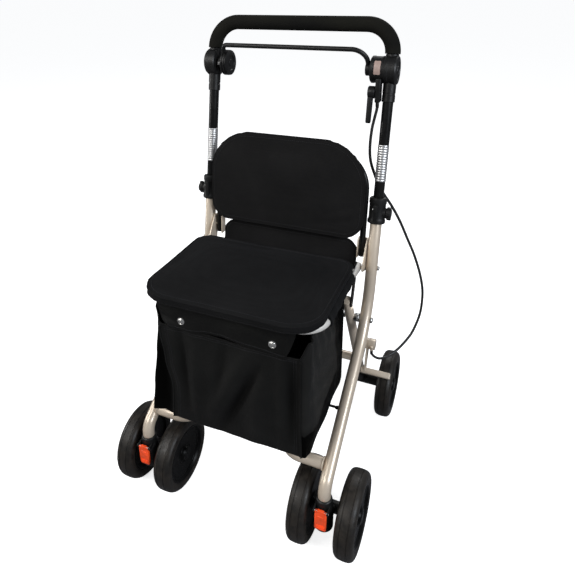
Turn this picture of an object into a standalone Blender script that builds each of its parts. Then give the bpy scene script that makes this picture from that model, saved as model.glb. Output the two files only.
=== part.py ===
"""Shopping rollator with a seat, a bag and swivelling twin front wheels.

Metres, +Z up. The walking frame faces -Y, and +X is the side with the hand brake's cable.
The empty named rollator holds everything: under it, X = 0 is the frame's centre plane,
Y = 0 is the line through both caster stems and Z = 0 is the ground.
"""
import math

import bmesh
import bpy
from mathutils import Matrix, Vector

# Clearances
GAP = 0.0003
RUN_GAP = 0.0005
LINK_PLAY = 0.0012
OVER = 0.002
SIDES = 12
PIN_SIDES = 8
THIN = 0.005

# Where the frame's centre plane and stem line lie in the part's own frame
CENTRE_X = -0.013
STEM_Y = -0.2115

# Main side tubes
HALF_TRACK = 0.180
HANDLE_R = 0.0099
TUBE_WALL = 0.0008
TUBE_FOOT_Z = 0.139
LOWER_BEND_Z = 0.1595
LOWER_BEND_R = 0.030
UPPER_BEND_Y = 0.262
UPPER_BEND_Z = 0.332
UPPER_BEND_R = 0.172
LEAN = math.radians(10.7)
TUBE_TOP_Z = 0.570
FRONT_TUBE_R = 0.0108
FRONT_TUBE_Y = 0.027
FRONT_TUBE_Z = 0.183
FRONT_BOW = 0.033
FRONT_BOW_INSET = 0.068
FRONT_BOW_RUN = 0.037
FRONT_BOW_OUTER_X = HALF_TRACK - FRONT_BOW_INSET
FRONT_BOW_INNER_X = FRONT_BOW_OUTER_X - FRONT_BOW_RUN
FRONT_BEND_R = 0.040

# Handle and height clamps
HANDLE_WALL = 0.0020
HANDLE_TOP_Z = 0.8835
HANDLE_BEND_R = 0.050
HANDLE_END_Z = 0.475
BAND_WALL = 0.0008
BAND_DROP = 0.2095
BAND_LENGTH = 0.069
BAND_TOP_Z = HANDLE_TOP_Z - BAND_DROP
BAND_BOTTOM_Z = BAND_TOP_Z - BAND_LENGTH
FOAM_R = 0.014
FOAM_DROP = 0.0495
FOAM_END_Z = HANDLE_TOP_Z - FOAM_DROP
COLLAR_R = 0.0165
COLLAR_BOTTOM_Z = 0.526
COLLAR_TOP_Z = 0.575
KNOB_Z = 0.546
KNOB_R = 0.0100
KNOB_LENGTH = 0.0095
KNOB_STUD_R = 0.0030
WING_HALF = 0.003
WING_REACH = 0.003
COLLAR_BOSS_LENGTH = 0.0005

# Hand brake and parking lever
HUB_DROP = 0.0775
HUB_Z = HANDLE_TOP_Z - HUB_DROP
SLEEVE_R = 0.0117
SLEEVE_DROP = 0.056
SLEEVE_BOTTOM_Z = HUB_Z - SLEEVE_DROP
DRUM_R = 0.0265
DRUM_INBOARD = 0.011
DRUM_OUTBOARD = 0.013
DRUM_INNER_X = HALF_TRACK - DRUM_INBOARD
DRUM_OUTER_X = HALF_TRACK + DRUM_OUTBOARD
HOUSING_R = 0.0245
HOUSING_REACH = 0.036
HOUSING_INNER_X = HALF_TRACK - HOUSING_REACH
NECK_R = 0.014
NECK_REACH = 0.0215
NECK_INNER_X = HALF_TRACK - NECK_REACH
DISC_R = 0.0250
DISC_WIDTH = 0.015
BAR_R = 0.0044
BAR_AHEAD = 0.0216
BAR_RISE = 0.037
BAR_Z = HUB_Z + BAR_RISE
BAR_LEFT_BEND_R = 0.028
BAR_RIGHT_BEND_R = 0.011
BAR_HUB_R = 0.012
BAR_HUB_WIDTH = 0.0094
PIVOT_PIN_R = 0.004
PIN_DEPTH = 0.007
LUG_INSET = 0.022
LUG_X = HALF_TRACK - LUG_INSET
LUG_WIDTH = 0.010
LUG_EDGE_R = 0.002
LUG_DEPTH = 0.018
LEVER_AHEAD = 0.0186
LEVER_DROP = 0.038
LEVER_Z = HUB_Z - LEVER_DROP
LEVER_HUB_R = 0.0112
LEVER_WIDTH = 0.013
BLADE_LENGTH = 0.052
BLADE_END_R = 0.006
BLADE_TIP_R = 0.0042
LEVER_CAP = 0.0015
BLADE_WIDTH = 0.009
BLADE_TILT = math.radians(12)

# Wheels
WHEEL_R = 0.075
TYRE_BORE_R = 0.056
CASTER_HALF_WIDTH = 0.018
REAR_HALF_WIDTH = 0.017
WHEEL_SHOULDER_R = 0.010
WHEEL_SEGMENTS = 24
HUB_DISH = 0.004
HUB_CAP_R = 0.015
HUB_STEP = 0.003
HUB_RIM = 0.006

# Casters
CASTER_TRAIL = 0.036
CASTER_WHEEL_X = 0.043
CASTER_BODY_R = 0.0165
CASTER_BODY_BOTTOM_Z = 0.070
CASTER_CAP_R = 0.0140
CASTER_CAP_Z = 0.124
CASTER_STEP = 0.0006
CASTER_BOSS_R = 0.0110
CASTER_AXLE_R = 0.004
HUB_WEB = 0.003
STEM_R = 0.005
STEM_LENGTH = 0.012
BUSHING_FOOT = 0.004
BUSHING_R = 0.0080
TIP_R = 0.004
TIP_LENGTH = 0.007
LOCK_WIDTH = 0.021
LOCK_THICKNESS = 0.0055
LOCK_TOP_Z = 0.128
LOCK_LENGTH = 0.045
LOCK_PIN_R = 0.0015
LOCK_EAR = 0.0027
LOCK_EAR_TIP_R = 0.0028
LOCK_EAR_ROOT_R = 0.0050
CASTER_ARM_HALF = 0.012
CASTER_ARM_FRONT = 0.004

# Rear legs
LEG_INSET = 0.030
LEG_X = HALF_TRACK - LEG_INSET
LEG_R = 0.0095
LEG_WALL = 0.0012
REAR_AXLE_Y = 0.387
REAR_WHEEL_OFFSET = 0.032
REAR_WHEEL_X = HALF_TRACK + REAR_WHEEL_OFFSET
CROSS_Z = 0.339
LEG_TOP = 0.0615
LEG_NOTCH = 0.026
LEG_FOOT = 0.016
CROSS_BOLT_R = 0.0031
BOLT_HEAD_R = 0.0060
BOLT_HEAD = 0.0035
REAR_TUBE_Z = 0.165
BOSS_R = 0.0135
BOSS_INBOARD = 0.011
BOSS_OUTBOARD = 0.040
BOSS_INNER_X = LEG_X - BOSS_INBOARD
BOSS_OUTER_X = LEG_X + BOSS_OUTBOARD
SOCKET_R = 0.0130
SOCKET_LENGTH = 0.042
REAR_AXLE_R = 0.005

# Rear brakes
BRAKE_Y = 0.350
BRAKE_Z = 0.203
BRAKE_BOSS_R = 0.0122
BRAKE_NECK_R = 0.0080
BRAKE_BOSS_REACH = 0.0345
BRAKE_BOSS_X = LEG_X + BRAKE_BOSS_REACH
BRACKET_T = 0.003
BRACKET_RIM = 0.0012
BRACKET_LOW_Z = 0.180
BRACKET_HIGH_Z = 0.236
BRACKET_LOW_R = 0.008
BRACKET_HIGH_R = 0.007
ARM_OFFSET = 0.0168
ARM_X = LEG_X + ARM_OFFSET
ARM_T = 0.0034
ARM_END_R = 0.0055
SHOE_Y = 0.331
SHOE_Z = 0.142
SHOE_OFFSET = 0.010
SHOE_LENGTH = 0.065
SHOE_INNER_X = LEG_X + SHOE_OFFSET
SHOE_OUTER_X = SHOE_INNER_X + SHOE_LENGTH
SHOE_DEPTH = 0.011
SHOE_HEIGHT = 0.013
SHOE_EDGE_R = 0.0015
CABLE_R = 0.0025
CABLE_STOP_R = 0.0036
CABLE_STOP_LENGTH = 0.010

# Seat and its folding linkage
SEAT_PIVOT_Y = 0.262
SEAT_PIVOT_Z = 0.444
LINK_TOP_Y = 0.246
LINK_TOP_Z = 0.455
LINK_PIN_ALONG = 0.053
LINK_PIN_R = 0.003
LINK_EYE_R = 0.0078
LINK_T = 0.003
LINK_OFFSET = 0.0062
LINK_X = LEG_X + LINK_OFFSET
SEAT_TUBE_R = 0.008
SEAT_TUBE_WALL = 0.0012
SEAT_TUBE_Z = 0.450
SEAT_TUBE_INSET = 0.023
SEAT_TUBE_X = HALF_TRACK - SEAT_TUBE_INSET
SEAT_FRONT_Y = 0.028
SEAT_BEND_R = 0.040
SEAT_ARM_END_Y = 0.228
SEAT_PLATE_T = 0.003
SEAT_PLATE_FRONT_Y = 0.205
SEAT_PLATE_R = 0.0066
CUSHION_OVERHANG = 0.011
CUSHION_HALF = SEAT_TUBE_X + CUSHION_OVERHANG
CUSHION_FRONT_Y = -0.005
CUSHION_BACK_Y = 0.232
CUSHION_EDGE = 0.014
CUSHION_CROWN = 0.010
CUSHION_CORNER_R = 0.034
SEAM_TOP = 0.72

# Hinge plates and backrest
PLATE_T = 0.0025
HINGE_BOLT_Z = 0.437
HINGE_R = 0.0085
HINGE_BOLT_R = 0.0030
HINGE_TOP_Z = 0.484
CHANNEL_BOTTOM_Z = 0.4525
CHANNEL_TOP_Z = 0.4905
BACK_INSET = 0.023
BACK_X = HALF_TRACK - BACK_INSET
BACK_TUBE_R = 0.006
BACK_TUBE_WALL = 0.0010
BACK_FOOT_Z = 0.4545
BACK_FOOT_Y = 0.2882
BACK_LEAN = math.radians(6)
BACK_PIN_Z = 0.471
BACK_PIN_R = 0.0025
BACK_TOP = 0.658
BACK_TUBE_BEND_R = 0.072
PAD_OVERHANG = 0.008
PAD_HALF = BACK_X + PAD_OVERHANG
PAD_BOTTOM_Z = 0.490
PAD_TOP_Z = 0.681
PAD_EDGE = 0.009
PAD_CROWN = 0.005
PAD_TOP_CORNER_R = 0.088
PAD_LOW_CORNER_R = 0.042
PANEL_INSET = 0.0325
PANEL_HALF = HALF_TRACK - PANEL_INSET
PANEL_BOTTOM_Z = 0.395
PANEL_TOP_Z = 0.488
PANEL_T = 0.006
PANEL_BEHIND = 0.004

# Bag
BAG_INSET = 0.028
BAG_LEG_ROOM = 0.0115
BAG_HALF = HALF_TRACK - BAG_INSET
BAG_REAR_HALF = LEG_X - BAG_LEG_ROOM
BAG_NARROW_Y = 0.200
BAG_BACK_Y = 0.226
BAG_FRONT_LOW_Y = -0.008
BAG_FRONT_HIGH_Y = 0.012
BAG_BOTTOM_Z = 0.225
BAG_TOP_Z = 0.4405
BAG_WALL = 0.003
FLAP_INSET = 0.006
FLAP_HALF = BAG_HALF - FLAP_INSET
FLAP_BOTTOM_Z = 0.402
FLAP_TOP_Z = 0.4565
FLAP_T = 0.002
STRAP_WIDTH = 0.022
STRAP_T = 0.003

# The brake cable's route, from the lever housing down and round to the rear brake
CABLE_ROUTE = [
    (0.1622, 0.333, 0.7496), (0.1620, 0.333, 0.738), (0.1585, 0.3308, 0.718), (0.1555, 0.3295, 0.699),
    (0.1538, 0.329, 0.670), (0.1550, 0.331, 0.643), (0.1610, 0.334, 0.619), (0.1765, 0.340, 0.580),
    (0.1985, 0.355, 0.539), (0.2140, 0.372, 0.501), (0.2300, 0.391, 0.453), (0.2430, 0.406, 0.414),
    (0.2560, 0.421, 0.366), (0.2645, 0.432, 0.320), (0.2662, 0.437, 0.279), (0.2632, 0.436, 0.242),
    (0.2530, 0.425, 0.205), (0.2400, 0.409, 0.184), (0.2250, 0.391, 0.169), (0.2095, 0.373, 0.162),
    (0.1965, 0.357, 0.164), (0.1870, 0.3450, 0.174), (0.1803, 0.3372, 0.187), (0.1795, 0.3365, 0.1965),
]
CABLE_POINTS = 54


def material(name, colour, metallic, roughness):
    """A Principled material in linear colour."""
    made = bpy.data.materials.new(name)
    made.use_nodes = True
    shader = made.node_tree.nodes["Principled BSDF"]
    shader.inputs["Base Color"].default_value = (*colour, 1.0)
    shader.inputs["Metallic"].default_value = metallic
    shader.inputs["Roughness"].default_value = roughness
    made.diffuse_color = (*colour, 1.0)
    return made


def sides_for(radius):
    """How many sides a round bar or bore has."""
    return PIN_SIDES if radius < THIN else SIDES


def clear(radius, gap=GAP):
    """The radius of a many-sided bore whose flats stay a gap away from a shaft."""
    return (radius + gap) / math.cos(math.pi / sides_for(radius + gap))


def on_side(side, point):
    """A point given for the +X side, on either side."""
    return Vector((side * point[0], point[1], point[2]))


def adopt(obj, holder, shade, smooth=True):
    """Gives an object its material and its place in the tree."""
    obj.data.materials.clear()
    obj.data.materials.append(shade)
    if smooth:
        obj.data.shade_smooth()
        obj.data.set_sharp_from_angle(angle=math.radians(35))
    obj.parent = holder
    obj.matrix_parent_inverse = Matrix.Translation(holder_place(holder)).inverted()
    return obj


def holder_place(holder):
    """Where an empty lies under the rollator's own empty."""
    place = Vector((0, 0, 0))
    while holder is not None and holder is not ROOT:
        place = place + holder.location
        holder = holder.parent
    return place


def joint(name, place, parent=None):
    """An empty on a joint's axis."""
    empty = bpy.data.objects.new(name, None)
    empty.empty_display_size = 0.02
    PARTS.objects.link(empty)
    holder = parent or ROOT
    empty.parent = holder
    empty.location = Vector(place) - holder_place(holder)
    return empty


def tool(obj):
    """Makes an object a hidden cutter or guide."""
    for collection in list(obj.users_collection):
        collection.objects.unlink(obj)
    CUTTERS.objects.link(obj)
    obj.hide_render = True
    obj.display_type = "WIRE"
    obj.parent = ROOT
    return obj


def boolean(obj, other, operation):
    """Cuts or joins an object with another, which becomes a tool."""
    made = obj.modifiers.new(operation.title(), "BOOLEAN")
    made.operation = operation
    made.solver = "EXACT"
    made.object = tool(other)
    return obj


def cut(obj, *others):
    for other in others:
        boolean(obj, other, "DIFFERENCE")
    return obj


def join(obj, *others):
    for other in others:
        boolean(obj, other, "UNION")
    return obj


def mesh_object(name, bm):
    """An object from a bmesh, which is freed."""
    bmesh.ops.recalc_face_normals(bm, faces=bm.faces)
    mesh = bpy.data.meshes.new(name)
    bm.to_mesh(mesh)
    bm.free()
    obj = bpy.data.objects.new(name, mesh)
    PARTS.objects.link(obj)
    return obj


def rod(name, start, end, radius, end_radius=None, sides=None):
    """A round bar or cone between two points."""
    start, end = Vector(start), Vector(end)
    along = end - start
    bm = bmesh.new()
    bmesh.ops.create_cone(
        bm, cap_ends=True, segments=sides or sides_for(radius), radius1=radius,
        radius2=radius if end_radius is None else end_radius, depth=along.length,
    )
    turn = along.to_track_quat("Z", "Y").to_matrix().to_4x4()
    bmesh.ops.transform(bm, matrix=Matrix.Translation((start + end) / 2) @ turn, verts=bm.verts)
    return mesh_object(name, bm)


def block(name, low, high, round_edges=0.0):
    """A box between two corners."""
    low, high = Vector(low), Vector(high)
    bm = bmesh.new()
    bmesh.ops.create_cube(bm, size=1.0)
    bmesh.ops.scale(bm, vec=[abs(a) for a in high - low], verts=bm.verts)
    bmesh.ops.translate(bm, vec=(low + high) / 2, verts=bm.verts)
    obj = mesh_object(name, bm)
    if round_edges:
        bevel = obj.modifiers.new("Round", "BEVEL")
        bevel.width = round_edges
        bevel.segments = 2
    return obj


def sweep(name, points, radius, resolution=4):
    """A closed round bar along points."""
    curve = bpy.data.curves.new(name, "CURVE")
    curve.dimensions = "3D"
    curve.bevel_depth = radius
    curve.bevel_resolution = resolution
    curve.use_fill_caps = True
    spline = curve.splines.new("POLY")
    spline.points.add(len(points) - 1)
    for target, point in zip(spline.points, points):
        target.co = (*point, 1.0)
    return as_mesh(name, curve)


def as_mesh(name, curve):
    """Turns a curve into a mesh object with welded caps."""
    guide = bpy.data.objects.new(name + "_curve", curve)
    PARTS.objects.link(guide)
    evaluated = guide.evaluated_get(bpy.context.evaluated_depsgraph_get())
    mesh = bpy.data.meshes.new_from_object(evaluated)
    mesh.name = name
    bm = bmesh.new()
    bm.from_mesh(mesh)
    bmesh.ops.remove_doubles(bm, verts=bm.verts, dist=0.00001)
    bmesh.ops.recalc_face_normals(bm, faces=bm.faces)
    bm.to_mesh(mesh)
    bm.free()
    obj = bpy.data.objects.new(name, mesh)
    obj.matrix_world = guide.matrix_world
    PARTS.objects.link(obj)
    bpy.data.objects.remove(guide)
    return obj


def bent(corners, radii, step=math.radians(20)):
    """Straight runs between corners, with an arc of the given radius at each inner corner."""
    corners = [Vector(c) for c in corners]
    points = [corners[0]]
    for before, corner, after, radius in zip(corners, corners[1:], corners[2:], radii):
        back = (before - corner).normalized()
        ahead = (after - corner).normalized()
        half = back.angle(ahead) / 2
        first = corner + back * (radius / math.tan(half))
        centre = corner + (back + ahead).normalized() * (radius / math.sin(half))
        spoke = first - centre
        turn = math.pi - 2 * half
        axis = back.cross(ahead).normalized()
        count = max(2, math.ceil(turn / step))
        for index in range(count + 1):
            points.append(centre + Matrix.Rotation(-turn * index / count, 3, axis) @ spoke)
    points.append(corners[-1])
    return points


def stretched(points, length=0.002):
    """The same path, a little longer at both ends."""
    first = points[0] + (points[0] - points[1]).normalized() * length
    last = points[-1] + (points[-1] - points[-2]).normalized() * length
    return [first] + points[1:-1] + [last]


def pipe(name, points, radius, wall):
    """A tube along points, open at both ends."""
    body = sweep(name, points, radius)
    return cut(body, sweep(name + "_bore", stretched(points), radius - wall))


def hull(circles, steps=16):
    """The outline round some circles, each given as centre and radius."""
    dots = []
    for (y, z), radius in circles:
        for index in range(steps):
            angle = 2 * math.pi * index / steps
            dots.append((y + radius * math.cos(angle), z + radius * math.sin(angle)))
    dots.sort()
    outline = []
    for run in (dots, dots[::-1]):
        part = []
        for dot in run:
            while len(part) > 1 and turning(part[-2], part[-1], dot) <= 1e-12:
                part.pop()
            part.append(dot)
        outline += part[:-1]
    return outline


def turning(a, b, c):
    return (b[0] - a[0]) * (c[1] - a[1]) - (b[1] - a[1]) * (c[0] - a[0])


def plate(name, outline, x_low, x_high):
    """A flat plate square to X, from an outline in Y and Z."""
    curve = bpy.data.curves.new(name, "CURVE")
    curve.dimensions = "2D"
    curve.fill_mode = "BOTH"
    curve.extrude = abs(x_high - x_low) / 2
    spline = curve.splines.new("POLY")
    spline.points.add(len(outline) - 1)
    for target, (y, z) in zip(spline.points, outline):
        target.co = (y, z, 0.0, 1.0)
    spline.use_cyclic_u = True
    obj = as_mesh(name, curve)
    stand = Matrix(((0, 0, 1, (x_low + x_high) / 2), (1, 0, 0, 0), (0, 1, 0, 0), (0, 0, 0, 1)))
    obj.data.transform(stand)
    return obj


def turned(name, profile, place, segments=WHEEL_SEGMENTS, closed=False):
    """A turned shape on an axis along X, flat side down. The profile lists radius and distance along +X."""
    mesh = bpy.data.meshes.new(name)
    count = len(profile)
    half = math.pi / segments
    edges = [(i, i + 1) for i in range(count - 1)]
    if closed:
        edges.append((count - 1, 0))
    mesh.from_pydata([(radius, radius * math.tan(half), along) for radius, along in profile], edges, [])
    obj = bpy.data.objects.new(name, mesh)
    PARTS.objects.link(obj)
    screw = obj.modifiers.new("Turn", "SCREW")
    screw.steps = segments
    screw.render_steps = segments
    screw.axis = "Z"
    screw.use_merge_vertices = True
    screw.merge_threshold = 0.00005
    obj.rotation_euler = (0.0, math.radians(90), 0.0)
    obj.location = place
    return obj


def path_y(points, z):
    """Where a path in Y and Z crosses a height."""
    for a, b in zip(points, points[1:]):
        if min(a.z, b.z) <= z <= max(a.z, b.z):
            return a.y + (b.y - a.y) * (z - a.z) / (b.z - a.z)
    raise ValueError("the path doesn't reach this height")


def post_y(z):
    """The handle post's centre line at a height."""
    return UPPER_BEND_Y + (z - UPPER_BEND_Z) * math.tan(LEAN)


def post_point(x, z):
    return Vector((x, post_y(z), z))


def back_y(z):
    """The backrest tube's centre line at a height."""
    return BACK_FOOT_Y + (z - BACK_FOOT_Z) * math.tan(BACK_LEAN)


def smooth_route(route, count):
    """Points along a smooth curve through a route's own points."""
    spots = [Vector(p) for p in route]
    ends = [2 * spots[0] - spots[1]] + spots + [2 * spots[-1] - spots[-2]]
    out = []
    spans = len(spots) - 1
    for index in range(count):
        at = index * spans / (count - 1)
        k = min(int(at), spans - 1)
        t = at - k
        a, b, c, d = ends[k:k + 4]
        out.append(
            0.5 * ((2 * b) + (c - a) * t + (2 * a - 5 * b + 4 * c - d) * t * t
                   + (3 * b - 3 * c + d - a) * t * t * t)
        )
    return out


def rounded_edge(u, v, half_x, half_y, low_r, high_r):
    """A point of a square's edge, moved onto a rectangle with rounded corners."""
    radius = high_r if v > 0 else low_r
    x, y = u * half_x, v * half_y
    over_x = abs(x) - (half_x - radius)
    over_y = abs(y) - (half_y - radius)
    if over_x > 0 and over_y > 0:
        scale = radius / math.hypot(over_x, over_y)
        x = math.copysign(half_x - radius + over_x * scale, x)
        y = math.copysign(half_y - radius + over_y * scale, y)
    return x, y


def cushion(name, half_x, half_y, low_r, high_r, edge, crown, columns=7, rows=6):
    """A flat pad about the origin in X and Y: crowned above and drawn in at its seam."""
    bm = bmesh.new()
    bmesh.ops.create_grid(bm, x_segments=columns, y_segments=rows, size=1.0)
    lower = list(bm.verts)
    made = bmesh.ops.extrude_face_region(bm, geom=list(bm.faces))
    upper = [g for g in made["geom"] if isinstance(g, bmesh.types.BMVert)]
    for verts, top in ((lower, False), (upper, True)):
        for vert in verts:
            u, v = vert.co.x, vert.co.y
            ring = max(abs(u), abs(v))
            x, y = (0.0, 0.0)
            if ring > 0:
                x, y = rounded_edge(u / ring, v / ring, half_x, half_y, low_r, high_r)
            z = 0.0
            if top:
                z = edge + crown * (1 - ring ** 2) ** 0.6 if ring < 1 else edge * SEAM_TOP
            vert.co = (x * ring, y * ring, z)
    obj = mesh_object(name, bm)
    soft = obj.modifiers.new("Soften", "SUBSURF")
    soft.levels = 1
    soft.render_levels = 1
    return obj


def main_tube_path(side):
    return bent(
        [(side * HALF_TRACK, 0, TUBE_FOOT_Z), (side * HALF_TRACK, 0, LOWER_BEND_Z),
         (side * HALF_TRACK, UPPER_BEND_Y, UPPER_BEND_Z), post_point(side * HALF_TRACK, TUBE_TOP_Z)],
        [LOWER_BEND_R, UPPER_BEND_R],
    )


def cross_y():
    """The main tubes' centre line at the height of the rear legs' pivot."""
    return path_y(main_tube_path(1), CROSS_Z)


def leg_point(along):
    """A point on a rear leg's line in Y and Z, so far above the pivot."""
    rise = Vector((0, cross_y() - REAR_AXLE_Y, CROSS_Z - WHEEL_R)).normalized()
    return Vector((0, cross_y(), CROSS_Z)) + rise * along


def leg_at_height(z):
    """The distance along a leg at which its line is at a height."""
    rise = (CROSS_Z - WHEEL_R) / (Vector((0, REAR_AXLE_Y, WHEEL_R)) - leg_point(0)).length
    return (z - CROSS_Z) / rise


def make_main_tube(side, tag):
    tube = pipe("main_tube_" + tag, main_tube_path(side), TUBE_R, TUBE_WALL)
    for label, y, z, radius in (
        ("hinge", post_y(HINGE_BOLT_Z), HINGE_BOLT_Z, HINGE_BOLT_R),
        ("cross", cross_y(), CROSS_Z, CROSS_BOLT_R),
    ):
        reach = TUBE_R + 0.004
        start = on_side(side, (HALF_TRACK - reach, y, z))
        end = on_side(side, (HALF_TRACK + reach, y, z))
        cut(tube, rod(label + "_hole_" + tag, start, end, clear(radius)))
    return adopt(tube, ROOT, BEIGE)


def make_front_cross_tube():
    end = HALF_TRACK - TUBE_R - GAP
    back = FRONT_TUBE_Y + FRONT_BOW
    z = FRONT_TUBE_Z
    corners = [
        (-end, FRONT_TUBE_Y, z), (-FRONT_BOW_OUTER_X, FRONT_TUBE_Y, z), (-FRONT_BOW_INNER_X, back, z),
        (FRONT_BOW_INNER_X, back, z), (FRONT_BOW_OUTER_X, FRONT_TUBE_Y, z), (end, FRONT_TUBE_Y, z),
    ]
    tube = pipe("front_cross_tube", bent(corners, [FRONT_BEND_R] * 4), FRONT_TUBE_R, TUBE_WALL)
    return adopt(tube, ROOT, BEIGE)


def make_stem_bushing(side, tag):
    x = side * HALF_TRACK
    top = TUBE_FOOT_Z + STEM_LENGTH
    outer = (TUBE_R - TUBE_WALL) * math.cos(math.pi / SIDES) - GAP
    bushing = rod("stem_bushing_" + tag, (x, 0, TUBE_FOOT_Z), (x, 0, TUBE_FOOT_Z + BUSHING_FOOT), outer)
    join(bushing, rod("bushing_neck_" + tag, (x, 0, TUBE_FOOT_Z), (x, 0, top), BUSHING_R))
    cut(bushing, rod("stem_hole_" + tag, (x, 0, TUBE_FOOT_Z - OVER), (x, 0, top + OVER), clear(STEM_R)))
    return adopt(bushing, ROOT, BLACK)


def make_height_collar(side, tag):
    x = side * HALF_TRACK
    low = post_point(x, COLLAR_BOTTOM_Z)
    collar = rod("height_collar_" + tag, low, post_point(x, COLLAR_TOP_Z), COLLAR_R)
    boss_end = HALF_TRACK + COLLAR_R + COLLAR_BOSS_LENGTH
    middle = post_y(KNOB_Z)
    boss = rod("collar_boss_" + tag, (x, middle, KNOB_Z), (side * boss_end, middle, KNOB_Z), KNOB_R)
    join(collar, boss)
    seat = post_point(x, TUBE_TOP_Z + GAP)
    cut(
        collar,
        rod("collar_seat_" + tag, post_point(x, COLLAR_BOTTOM_Z - 0.004), seat, clear(TUBE_R)),
        rod("collar_mouth_" + tag, post_point(x, TUBE_TOP_Z - 0.01),
            post_point(x, COLLAR_TOP_Z + 0.004), clear(HANDLE_R)),
        rod("stud_hole_" + tag, (side * (HALF_TRACK + TUBE_R + 0.0005), middle, KNOB_Z),
            (side * (boss_end + 0.002), middle, KNOB_Z), clear(KNOB_STUD_R)),
    )
    return adopt(collar, ROOT, BLACK)


def make_collar_knob(side, tag):
    middle = post_y(KNOB_Z)
    start = HALF_TRACK + COLLAR_R + COLLAR_BOSS_LENGTH + GAP
    holder = joint("collar_knob_axis_" + tag, (side * start, middle, KNOB_Z))
    inner = (side * start, middle, KNOB_Z)
    knob = rod("collar_knob_" + tag, inner, (side * (start + KNOB_LENGTH), middle, KNOB_Z), KNOB_R)
    reach = KNOB_R + WING_REACH
    wing_low = on_side(side, (start + 0.001, middle - WING_HALF, KNOB_Z - reach))
    wing_high = on_side(side, (start + KNOB_LENGTH - 0.001, middle + WING_HALF, KNOB_Z + reach))
    join(knob, block("knob_wing_" + tag, wing_low, wing_high))
    stud_end = HALF_TRACK + TUBE_R + 0.001
    join(knob, rod("knob_stud_" + tag, (side * stud_end, middle, KNOB_Z),
                   (side * (start + 0.002), middle, KNOB_Z), KNOB_STUD_R))
    return adopt(knob, holder, BLACK)


def handle_path():
    return bent(
        [post_point(-HALF_TRACK, HANDLE_END_Z), post_point(-HALF_TRACK, HANDLE_TOP_Z),
         post_point(HALF_TRACK, HANDLE_TOP_Z), post_point(HALF_TRACK, HANDLE_END_Z)],
        [HANDLE_BEND_R] * 2,
    )


def make_handle_tube(holder):
    tube = pipe("handle_tube", handle_path(), HANDLE_R, HANDLE_WALL)
    for side, tag in SIDES_OF_FRAME:
        low = post_point(side * HALF_TRACK, BAND_BOTTOM_Z)
        high = post_point(side * HALF_TRACK, BAND_TOP_Z)
        ring = rod("band_recess_" + tag, low, high, HANDLE_R + 0.003)
        along = (high - low).normalized() * 0.002
        core = rod("band_core_" + tag, low - along, high + along, BAND_SEAT_R)
        cut(ring, core)
        cut(tube, ring)
    return adopt(tube, holder, BLACK_TUBE)


def make_height_band(side, tag, holder):
    low = post_point(side * HALF_TRACK, BAND_BOTTOM_Z)
    high = post_point(side * HALF_TRACK, BAND_TOP_Z)
    along = (high - low).normalized()
    band = rod("height_band_" + tag, low + along * GAP, high - along * GAP, HANDLE_R)
    cut(band, rod("band_bore_" + tag, low - along * 0.002, high + along * 0.002, clear(BAND_SEAT_R)))
    return adopt(band, holder, SILVER)


def make_handle_foam(holder):
    corners = [post_point(-HALF_TRACK, FOAM_END_Z), post_point(-HALF_TRACK, HANDLE_TOP_Z),
               post_point(HALF_TRACK, HANDLE_TOP_Z), post_point(HALF_TRACK, FOAM_END_Z)]
    path = bent(corners, [HANDLE_BEND_R] * 2)
    foam = sweep("handle_foam", path, FOAM_R)
    cut(foam, sweep("foam_bore", stretched(path), clear(HANDLE_R)))
    return adopt(foam, holder, FOAM)


def make_hub(side, tag, holder, inner_x, inner_r):
    """A moulded brake hub: a sleeve on the post, a drum round it and a barrel inboard."""
    y, z = post_y(HUB_Z), HUB_Z
    x = side * HALF_TRACK
    sleeve_top = post_point(x, FOAM_END_Z - GAP * 2)
    hub = rod("brake_hub_" + tag, post_point(x, SLEEVE_BOTTOM_Z), sleeve_top, SLEEVE_R)
    drum_low = (side * DRUM_INNER_X, y, z)
    drum = rod("hub_drum_" + tag, drum_low, (side * DRUM_OUTER_X, y, z), DRUM_R, sides=24)
    barrel_end = (side * (DRUM_INNER_X + 0.004), y, z)
    barrel = rod("hub_barrel_" + tag, (side * inner_x, y, z), barrel_end, inner_r, sides=24)
    join(hub, drum, barrel)
    if side > 0:
        lever_y = y - LEVER_AHEAD
        low = (LUG_X, lever_y - LUG_DEPTH / 2, SLEEVE_BOTTOM_Z)
        high = (LUG_X + LUG_WIDTH, lever_y + LUG_DEPTH / 2, HUB_Z - HOUSING_R / 2)
        join(hub, block("lever_lug", low, high, LUG_EDGE_R))
        pin_end = (LUG_X - LEVER_WIDTH + 0.002, lever_y, LEVER_Z)
        join(hub, rod("lever_pin", pin_end, (LUG_X + 0.002, lever_y, LEVER_Z), PIVOT_PIN_R))
    along = Vector((0, math.sin(LEAN), math.cos(LEAN))) * 0.004
    cut(hub, rod("hub_bore_" + tag, post_point(x, SLEEVE_BOTTOM_Z) - along,
                 post_point(x, FOAM_END_Z) + along, clear(HANDLE_R)))
    mouth = rod("hub_pin_hole_" + tag, (side * (inner_x - 0.002), y, z),
                (side * (inner_x + PIN_DEPTH + 0.001), y, z), clear(PIVOT_PIN_R, RUN_GAP))
    return adopt(cut(hub, mouth), holder, BLACK)


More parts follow.
